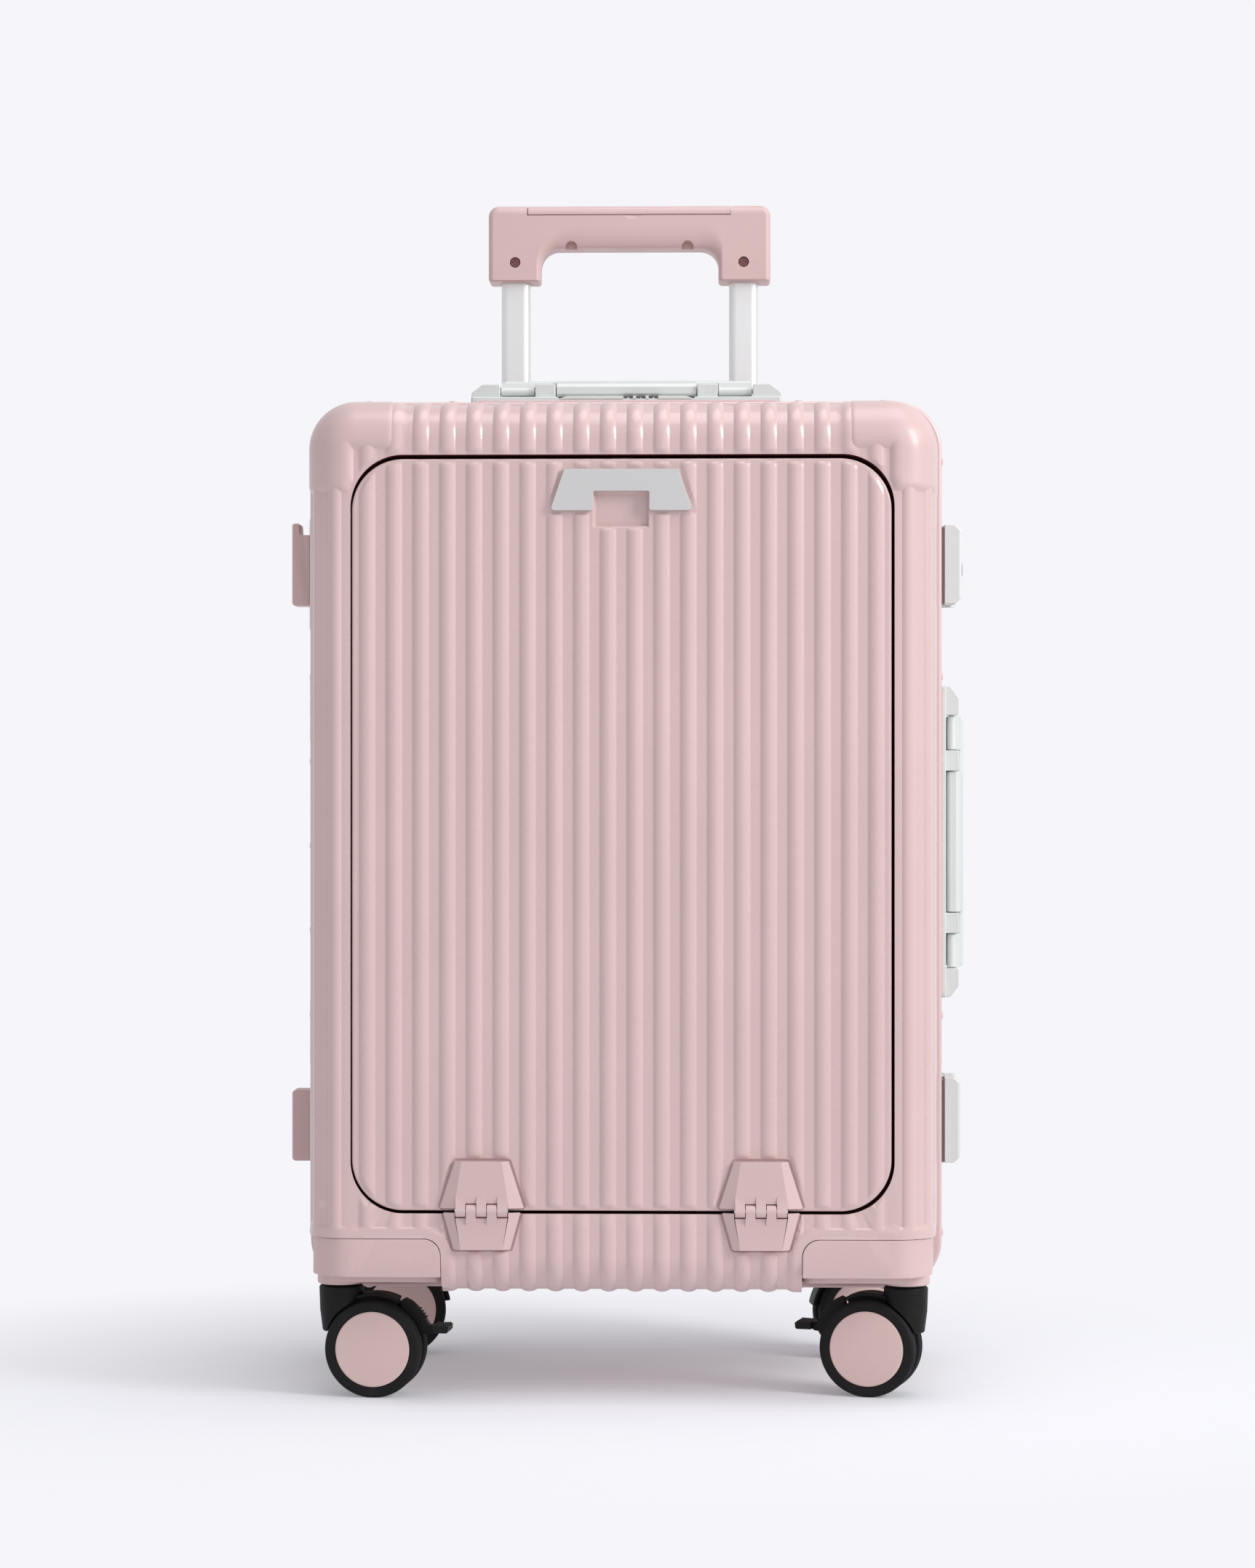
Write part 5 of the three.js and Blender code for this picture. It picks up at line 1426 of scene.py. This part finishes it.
def make_dial(word, first):
    """A number wheel with ten finger ridges, and its ten digits."""
    node = f"number_dial_{word}"
    low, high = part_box(node)
    centre = (low + high) / 2
    radius, ridges, steps = (high.z - low.z) / 2 - 0.2 * MM, 10, 60
    outline = []
    for k in range(steps):
        a = 2 * math.pi * k / steps
        outline.append(
            on_circle(centre.y, centre.z, radius - 0.22 * MM * (math.cos(ridges * a) < -0.55), a)
        )
    dial = prism(outline, low.x, high.x, "x")
    bevel(dial, 0.25 * MM, 2, 60)
    finish_piece(dial, f"dial_{word}", f"dial_{word}", "dial", [node], angle=30)
    digits = []
    for k in range(ridges):
        digit = digit_mesh(str((k + first) % ridges), 2.3 * MM)
        turn = Matrix.Rotation(2 * math.pi * (k + 0.35) / ridges, 4, "X")
        upright = Matrix.Translation((0, -radius - 0.01 * MM, 0)) @ Matrix.Rotation(math.pi / 2, 4, "X")
        digits.append(moved(digit, Matrix.Translation(centre) @ turn @ upright))
    join(*digits)
    finish_piece(digits[0], f"dial_digits_{word}", f"dial_{word}", "digit", angle=30)


# ---------------------------------------------------------------- side latches, hook and foot
LATCH_FACE = FRAME_HALF + 0.3 * MM
PIVOT = mm(180, 11.5)  # X and Y of the levers' pins
EAR = 3.2 * MM


def make_latch_mount(word):
    """A latch's base plate, the two ears that hold its pin, and the rod that the lever hooks over."""
    low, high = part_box(f"{word}_latch_lever")
    edge = rectangle(-3.5 * MM, 15.5 * MM, low.z, high.z)
    span = (LATCH_FACE - 1.6 * MM, LATCH_FACE + 1.6 * MM)
    base = soft_prism(edge, mm(0.8) * 4, *span, "x", mm(0, 0.4), mm(0.4) * 4, 2, 3)
    parts, foot = [base], LATCH_FACE + 0.8 * MM
    for z in (low.z, high.z - 5 * MM):
        shape = [(foot, PIVOT[1] - EAR), (PIVOT[0], PIVOT[1] - EAR)]
        shape += [on_circle(*PIVOT, EAR, math.pi * (k / 10 - 0.5)) for k in range(1, 10)]
        shape += [(PIVOT[0], PIVOT[1] + EAR), (foot, PIVOT[1] + EAR)]
        parts.append(prism(shape, z, z + 5 * MM, "z"))
    parts.append(rod(1.4 * MM, low.z + 1 * MM, high.z - 1 * MM, "z", (*PIVOT, 0), 20))
    parts.append(rod(2.0 * MM, low.z + 4 * MM, high.z - 4 * MM, "z", (foot, -6.5 * MM, 0), 16))
    join(*parts)
    name = f"{word}_latch_mount"
    finish_piece(base, name, "rear_case", "silver", [f"{word}_latch_base"], angle=38)


def make_latch_arm(word):
    """A latch's lever: a chamfered cover on a tongue that turns round the pin."""
    low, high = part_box(f"{word}_latch_lever")
    near, far, bottom, chamfer = low.x - 2.0 * MM, high.x - 1.6 * MM, low.z + 1 * MM, 3.2 * MM
    points = [(near, bottom), (far - chamfer, bottom), (far, bottom + chamfer), (far, high.z - chamfer)]
    points += [(far - chamfer, high.z), (near, high.z)]
    radii = mm(0.5, 1.4, 1.4, 1.4, 1.4, 0.5)
    widths = mm(0.5, 0.9, 1.6, 0.9, 0.5, 0.4)
    lever = soft_prism(points, radii, low.y, PIVOT[1] - 3.6 * MM, "y", mm(0.9, 1.4), widths, 4, 5)
    z = (low.z + 5.4 * MM, high.z - 5.4 * MM)
    tongue = block((PIVOT[0] - 2 * MM, high.x - 0.6 * MM), (PIVOT[1] - 4.4 * MM, PIVOT[1]), z)
    sleeve = rod(2.2 * MM, *z, "z", (*PIVOT, 0), 28)
    bevel(tongue, 0.8 * MM, 3)
    combine(lever, [tongue, sleeve], "UNION")
    cutters = [rod(1.7 * MM, low.z, high.z, "z", (*PIVOT, 0), 20)]
    x, y = (near - 1 * MM, low.x + 0.4 * MM), (low.y + 2.2 * MM, PIVOT[1] - 5 * MM)
    cutters.append(block(x, y, (low.z + 3 * MM, high.z - 2 * MM)))
    if word == "upper":
        a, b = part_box("key_cylinder")
        cutters.append(rod(4.45 * MM, high.x - 3.7 * MM, high.x + 3 * MM, "x", (0, *((a + b) / 2).yz), 32))
    combine(lever, cutters)
    name = f"{word}_latch_arm"
    finish_piece(lever, name, f"{word}_latch", "silver", [f"{word}_latch_lever"], angle=38)


def make_key():
    """The lock barrel in the upper latch, with its slot."""
    low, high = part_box("key_cylinder")
    centre = (low + high) / 2
    barrel = rod(4.2 * MM, low.x, high.x - 1.6 * MM, "x", (0, centre.y, centre.z), 40, 0.5 * MM)
    y, z = (centre.y - 0.45 * MM, centre.y + 0.45 * MM), (centre.z - 2.4 * MM, centre.z + 2.4 * MM)
    combine(barrel, [block((high.x - 3.4 * MM, high.x + 1 * MM), y, z)])
    finish_piece(barrel, "key_barrel", "key", "steel", ["key_cylinder"], angle=35)


def make_keeper(word):
    """The strip on the front frame that the lever closes over, with its two small screws; its pink is
    darkened as painted shade.
    """
    low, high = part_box(f"{word}_latch_lever")
    outline = rectangle(-13.2 * MM, -4.8 * MM, low.z + 1.4 * MM, high.z - 1.4 * MM)
    span = (FRAME_HALF - 1.5 * MM, FRAME_HALF + 1.6 * MM)
    strip = soft_prism(outline, mm(0.6) * 4, *span, "x", mm(0, 0.5), mm(0.5) * 4, 2, 3)
    heads = []
    for z in (low.z + 5 * MM, high.z - 5 * MM):
        centre = (0, -10.5 * MM, z)
        heads.append(rod(1.7 * MM, FRAME_HALF + 1.2 * MM, FRAME_HALF + 2.3 * MM, "x", centre, 20, 0.4 * MM))
    join(strip, *heads)
    finish_piece(strip, f"{word}_latch_keeper", "front_case", "keeper", angle=38)


HOOK_BOTTOM, HOOK_SLOT, HOOK_TIP = mm(427.4, 466.8, 473.2)


def make_hook():
    """The bag hook: a plate and a block with an open slot behind its tab."""
    low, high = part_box("bag_hook")
    face, out = -FRAME_HALF - 0.3 * MM, low.x
    edge = rectangle(low.y, high.y, low.z, high.z)
    span = (face - 1.0 * MM, face + 1.6 * MM)
    plate = soft_prism(edge, mm(1.0) * 4, *span, "x", mm(0.4, 0), mm(0.4) * 4, 2, 3)
    inner = face - 0.5 * MM
    outline = [
        (inner, HOOK_BOTTOM), (inner, HOOK_SLOT), (out + 4.5 * MM, HOOK_SLOT), (out + 4.2 * MM, HOOK_TIP)
    ]
    outline += [(out, HOOK_TIP), (out, HOOK_BOTTOM)]
    radii = mm(0.2, 0.3, 1.6, 1.2, 1.4, 1.8)
    join(plate, soft_prism(outline, radii, low.y, high.y, "y", mm(1.0, 1.0), mm(0.9) * 6, 4, 5))
    finish_piece(plate, "hook_block", "rear_case", "trim", ["bag_hook"], angle=38)


def make_foot():
    low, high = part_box("side_foot")
    outline = rectangle(low.x, high.x + 1.6 * MM, low.z, high.z)
    foot = soft_prism(outline, mm(2, 0.4, 0.4, 2), low.y, high.y, "y", mm(1.2, 1.2), mm(1.2) * 4, 4, 6)
    finish_piece(foot, "foot_block", "rear_case", "trim", ["side_foot"], angle=38)


# ---------------------------------------------------------------- casters
SWIVEL = mm(151.6, 70.5)
TRAIL, WHEEL_R = 19.1 * MM, 26 * MM
AXLE_Z = 25.875 * MM
STEM = [mm(0, 34.4), mm(9.6, 34.4), mm(10.1, 34.9), mm(11.5, 46), mm(11.9, 57.9), mm(11.4, 58.6)]
STEM += [mm(8.6, 58.6), mm(8.6, 59.5), mm(0, 59.5)]
TYRE = [
    (3.4, 4.0), (9, 4.0), (9.6, 5.6), (19.4, 5.6), (20.2, 4.4), (24.4, 4.1), (25.5, 4.7), (26, 5.9),
    (26, 7.0)
]
TYRE += [(25.75, 7.2), (25.55, 7.5), (25.55, 8.7), (25.75, 9.0)]  # a groove in the tread
TYRE += [(26, 9.2), (26, 10.3), (25.65, 11.35), (24.9, 12.0), (24.0, 12.2), (20.9, 12.2), (20.55, 12.0)]
TYRE += [(20.3, 11.2), (3.4, 11.0)]
CAP = [(0, 10.6), (20.1, 10.6), (20.1, 11.75), (19.8, 12.05), (19.3, 12.15), (0, 12.15)]
# The casters' angles in the photo, in degrees.
TURNS = {"front_left": -6, "front_right": 165, "rear_left": 10, "rear_right": 190}


def caster_matrix(name):
    """From a caster drawn round the origin, its wheels trailing towards X, to its place and angle."""
    side_x = 1 if name.endswith("right") else -1
    side_y = -1 if name.startswith("front") else 1
    turn = Matrix.Rotation(math.radians(TURNS[name]), 4, "Z")
    return Matrix.Translation((side_x * SWIVEL[0], side_y * SWIVEL[1], 0)) @ turn


def arc_points(radius, start, end, steps):
    """Points round the wheel's centre, in the caster's own X and Z."""
    return [(TRAIL + radius * math.cos(math.radians(a)), AXLE_Z + radius * math.sin(math.radians(a)))
            for a in np.linspace(start, end, steps)]


def make_fork(name):
    """The stem, the web between the wheels with its hood, and the axle."""
    stem = lathe(STEM, "z", (0, 0, 0), 48)
    axis = (TRAIL, 0, AXLE_Z)
    rooms = []
    for s in (-1, 1):
        rooms.append(rod(WHEEL_R + 1.1 * MM, *sorted((s * 3.5 * MM, s * 20 * MM)), "y", axis, 64))
    combine(stem, rooms)
    end = 63 if name.startswith("front") else 8  # the brake takes the rest
    web = prism(
        arc_points(29 * MM, end, 161, 40) + arc_points(6 * MM, 165, end + 8, 12), -3.3 * MM, 3.3 * MM
    )
    hood_outline = arc_points(29.4 * MM, end + 1, 150, 34) + arc_points(27.5 * MM, 150, end + 1, 34)
    hood = prism(hood_outline, -6.5 * MM, 6.5 * MM)
    for part in (web, hood):
        bevel(part, 0.5 * MM, 2, 40)
    join(stem, web, hood, rod(3 * MM, -10 * MM, 10 * MM, "y", axis, 28))
    moved(stem, caster_matrix(name))
    node = f"caster_fork_{name}"
    finish_piece(stem, f"fork_{name}", f"caster_{name}", "caster", [node], angle=38)


def make_wheel(name, letter):
    """A wheel: the black tyre and hub, and the pink cap on its outer side."""
    s = 1 if letter == "a" else -1
    node = f"wheel_{name}_{letter}"
    pieces = (("tyre", TYRE, "wheel_black", "tyre", [node]), ("cap", CAP, "trim_pink", "cap", []))
    for word, profile, slot, material, replaced in pieces:
        part = lathe([(r * MM, s * y * MM) for r, y in profile], "y", (TRAIL, 0, AXLE_Z), 96)
        moved(part, caster_matrix(name))
        finish_piece(part, f"{word}_{name}_{letter}", node, material, replaced, angle=34)


def teeth(start, end, count, height):
    """A row of rounded serrations between two points."""
    a, b = np.array(start), np.array(end)
    along = (b - a) / np.hypot(*(b - a))
    out = np.array((-along[1], along[0]))
    points = []
    for k in range(count):
        for share, lift in ((0.05, 0), (0.3, 1), (0.62, 1), (0.9, 0)):
            points.append(tuple(a + (b - a) * (k + share) / count + out * lift * height))
    return points


BRAKE_GRIP = ((27.4, 15.4), (23.0, 21.3), 4, -0.9)  # serrations on the blade: from, to, count, height
PEDAL_GRIP = ((32.0, 12.1), (39.8, 12.4), 6, 0.5)


def make_brake(name):
    """The brake: a blade that follows the wheels, and a ribbed pedal."""
    outline = [
        (13.9, 22.0), (13.9, 25.2), (16.0, 26.4), (19.6, 24.6), (21.6, 22.8), *teeth(*BRAKE_GRIP)[::-1]
    ]
    outline += [(28.4, 13.4), (29.4, 12.2), (31.0, 12.0), (32.2, 12.4), (32.6, 12.5)]
    outline += [(32.6, 8.6), (30.4, 7.4), (28.9, 7.3), (27.2, 7.6)]
    outline += [on_circle(0, 0, 25.4, math.radians(a)) for a in range(17, 58, 5)]
    pedal = [(31.6, 8.6), (31.6, 12.2), *teeth(*PEDAL_GRIP), (40.4, 12.0), (40.2, 9.4), (39.4, 8.6)]
    blade = prism([(TRAIL + u * MM, AXLE_Z + v * MM) for u, v in outline], -2.7 * MM, 2.7 * MM)
    tread = prism([(TRAIL + u * MM, AXLE_Z + v * MM) for u, v in pedal], -7.5 * MM, 7.5 * MM)
    bevel(blade, 0.35 * MM, 2, 50)
    join(blade, tread)
    moved(blade, caster_matrix(name))
    node = f"brake_lever_{name}"
    finish_piece(blade, f"brake_{name}", f"brake_{name}", "caster", [node], angle=30)


# ---------------------------------------------------------------- inside: linings and the pocket panel
def make_linings():
    """The cloth linings of both halves, and the cover over the telescopic handle's tubes."""
    for side, body, word in HALVES:
        lining = smooth_case(CaseHalf(side), -SKIN - 0.5 * MM, 0.9 * MM)
        cutters = [corner_block(s, side, 3.5 * MM, HOUSING_TOP + 4 * MM, 0) for s in (-1, 1)]
        if side < 0:
            grow = 6 * MM
            reach = rectangle(door_low.x - grow, door_high.x + grow, door_low.z - grow, door_high.z + grow)
            cutters.append(prism(rounded(reach, DOOR_RADIUS + grow, 16), FRONT_Y - 0.02, FRONT_Y + 0.04))
        else:
            low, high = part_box("trolley_well")
            cutters.append(block((low.x, high.x), (low.y, high.y), (low.z - 1 * MM, 0.6), 5 * MM, "z"))
        combine(lining, cutters)
        finish_piece(lining, f"lining_{word}", body, "lining", weighted=False, angle=50)
    hood = [mm(-96, 108.5), mm(-86, 73), mm(86, 73), mm(96, 108.5)]
    inner = [mm(-93.6, 108.8), mm(-84.4, 74.8), mm(84.4, 74.8), mm(93.6, 108.8)]
    outline = rounded(hood, mm(0, 9, 9, 0), 8) + rounded(inner, mm(0, 8, 8, 0), 8)[::-1]
    cover = prism(outline, 50 * MM, 486.5 * MM, "z")
    combine(cover, [case_room(1, SKIN + 0.8 * MM)], "INTERSECT")
    finish_piece(cover, "tube_cover", "rear_case", "lining", angle=40)


def make_pocket_panel():
    """A board covered in lining cloth, with a zipped pocket."""
    low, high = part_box("pocket_panel")
    wide, tall = high.x - 0.4 * MM, (high.z - low.z) / 2 - 0.4 * MM
    middle = (high.z + low.z) / 2
    edge = rectangle(-wide, wide, middle - tall, middle + tall)
    span = (low.y + 0.3 * MM, high.y - 0.3 * MM)
    board = soft_prism(edge, mm(24) * 4, *span, "y", mm(1.1, 1.1), mm(2.5) * 4, 4, 12)
    finish_piece(board, "pocket_board", "front_case", "lining", ["pocket_panel"], angle=50)
    make_zip(wide, middle + tall * 0.62, high.y)


def make_zip(wide, z, y):
    """The zip across the pocket panel: a tape and two rows of teeth that mesh."""
    edge = rectangle(-wide + 22 * MM, wide - 22 * MM, z - 8 * MM, z + 8 * MM)
    tape = soft_prism(edge, mm(3) * 4, y - 0.6 * MM, y + 0.5 * MM, "y", mm(0, 0.4), mm(0.8) * 4, 2, 4)
    finish_piece(tape, "zip_tape", "front_case", "webbing", angle=50)
    links, step = [], 2.2 * MM
    x = -wide + 26 * MM
    while x < wide - 26 * MM:
        for left, row in ((x, z - 1.6 * MM), (x + step / 2, z + 1.6 * MM)):
            spans = (left, left + 1.2 * MM), (y + 0.3 * MM, y + 1.5 * MM), (row - 1.9 * MM, row + 1.9 * MM)
            links.append(block(*spans))
        x += step
    join(*links)
    finish_piece(links[0], "zip_teeth", "front_case", "dial", angle=30)


# ---------------------------------------------------------------- build
for side, body, word in HALVES:
    make_shell(side, body, f"shell_{word}", f"{word}_shell")
    make_recess(side, body, f"recess_{word}")
    for side_x, hand in ((-1, "left"), (1, "right")):
        make_pad(side, side_x, body, f"corner_{word}_{hand}", f"corner_protector_{word}_{hand}")
        make_housing(side, side_x, body, f"housing_{word}_{hand}", f"caster_housing_{word}_{hand}")
make_door()
make_latch_plate()
make_door_frame()
for leaf in LEAVES:
    make_leaf(*leaf)
for hand in ("left", "right"):
    dress(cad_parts[f"door_hinge_pin_{hand}"], "steel")
make_frame(-1, "front_case", "front_frame")
make_handle_pads()
make_frame(1, "rear_case", "rear_frame")
dress(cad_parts["case_hinge_pin"], "steel")
make_grip()
make_push_bar()
for stage in TUBES:
    for hand in ("left", "right"):
        make_tube(stage, hand)
make_well()
for word in ("top", "side"):
    make_handle_mount(word)
    make_handle_loop(word)
for first, word in enumerate(DIALS):
    make_dial(word, 3 * first)
for word in ("upper", "lower"):
    make_latch_mount(word)
    make_latch_arm(word)
    if word == "upper":
        make_key()
    make_keeper(word)
make_hook()
make_foot()
for caster in TURNS:
    make_fork(caster)
    for letter in ("a", "b"):
        make_wheel(caster, letter)
for caster in ("front_left", "front_right"):
    make_brake(caster)
make_linings()
make_pocket_panel()


# ---------------------------------------------------------------- floor, light and camera
BACKDROP = (0.917, 0.917, 0.956)
PAPER, PAPER_LIGHT = (0.875, 0.9, 0.945), (0.89, 0.915, 0.96)
AMBIENT = 0.5  # how strongly the backdrop lights the case
SHADOW_LIFT = 0.2  # how much of the floor's brightness survives in the deepest shadow
SHADOW_FADE = (0.13, 0.42)  # from the middle, where the floor turns into the backdrop
CAMERA_AT, CAMERA_TURN, LENS = (0.0487, -2.0544, 0.3281), 1.34, 84.8


def make_floor():
    """Pale paper that fades into the backdrop away from the case."""
    floor = lathe([(0, 0), (3.2, 0), (3.2, -0.002), (0, -0.002)], "z", (0, 0, 0), 96)
    floor.name = "floor"
    m = Nodes("floor_paper")
    where = m.add("ShaderNodeTexCoord").outputs["Object"]
    oval = m.add("ShaderNodeMapping", {"Vector": where, "Scale": (0.8, 1, 1)}).outputs[0]
    away = m.add("ShaderNodeVectorMath", {0: oval}, operation="LENGTH").outputs["Value"]
    fade = m.between(away, *SHADOW_FADE, SHADOW_LIFT, 1)
    m.link(m.mix(m.between(m.noise(60, 4), 0.3, 0.7, 0, 1), PAPER, PAPER_LIGHT), "Base Color")
    m.constant(Roughness=0.8, Specular_IOR_Level=0.1)
    glow = m.add("ShaderNodeEmission", {"Color": (*BACKDROP, 1), "Strength": 1.0})
    both = m.add("ShaderNodeMixShader", {0: fade, 1: m.shader.outputs[0], 2: glow.outputs[0]})
    m.tree.links.new(both.outputs[0], m.tree.nodes["Material Output"].inputs["Surface"])
    floor.data.materials.append(m.material)


def make_world():
    """The backdrop, seen at full strength but lighting the case at AMBIENT."""
    world = bpy.data.worlds.new("studio")
    bpy.context.scene.world = world
    world.use_nodes = True
    tree = world.node_tree
    background = tree.nodes["Background"]
    background.inputs["Color"].default_value = (*BACKDROP, 1)
    ray = tree.nodes.new("ShaderNodeLightPath")
    level = tree.nodes.new("ShaderNodeMapRange")
    level.inputs["To Min"].default_value = 1.0
    level.inputs["To Max"].default_value = AMBIENT
    tree.links.new(ray.outputs["Is Diffuse Ray"], level.inputs["Value"])
    tree.links.new(level.outputs["Result"], background.inputs["Strength"])


def area_light(name, place_at, target, size, watts):
    data = bpy.data.lights.new(name, "AREA")
    data.shape = "RECTANGLE"
    data.size, data.size_y = size
    data.energy = watts
    light = bpy.data.objects.new(name, data)
    light.location = place_at
    light.rotation_euler = (Vector(target) - Vector(place_at)).to_track_quat("-Z", "Y").to_euler()
    bpy.context.scene.collection.objects.link(light)


def make_lights():
    """A key light from the right, a broad one above and a weak one beside the camera."""
    area_light("key", (2.2, -1.3, 1.5), (0, 0, CENTRE_Z), (0.8, 1.2), 46)
    area_light("top", (0.3, -0.4, 2.4), (0, 0, CENTRE_Z), (1.6, 1.2), 17)
    area_light("fill", (0.9, -2.3, 1.0), (0.1, 0, CENTRE_Z), (1.2, 1.8), 4.6)


def make_camera():
    data = bpy.data.cameras.new("camera")
    data.sensor_fit = "AUTO"
    data.sensor_width = 36
    data.lens = LENS
    data.clip_start, data.clip_end = 0.05, 50
    camera = bpy.data.objects.new("camera", data)
    camera.location = CAMERA_AT
    camera.rotation_euler = (math.radians(90), 0, math.radians(CAMERA_TURN))
    bpy.context.scene.collection.objects.link(camera)
    bpy.context.scene.camera = camera
    bpy.context.scene.view_settings.view_transform = "Standard"


make_floor()
make_world()
make_lights()
make_camera()
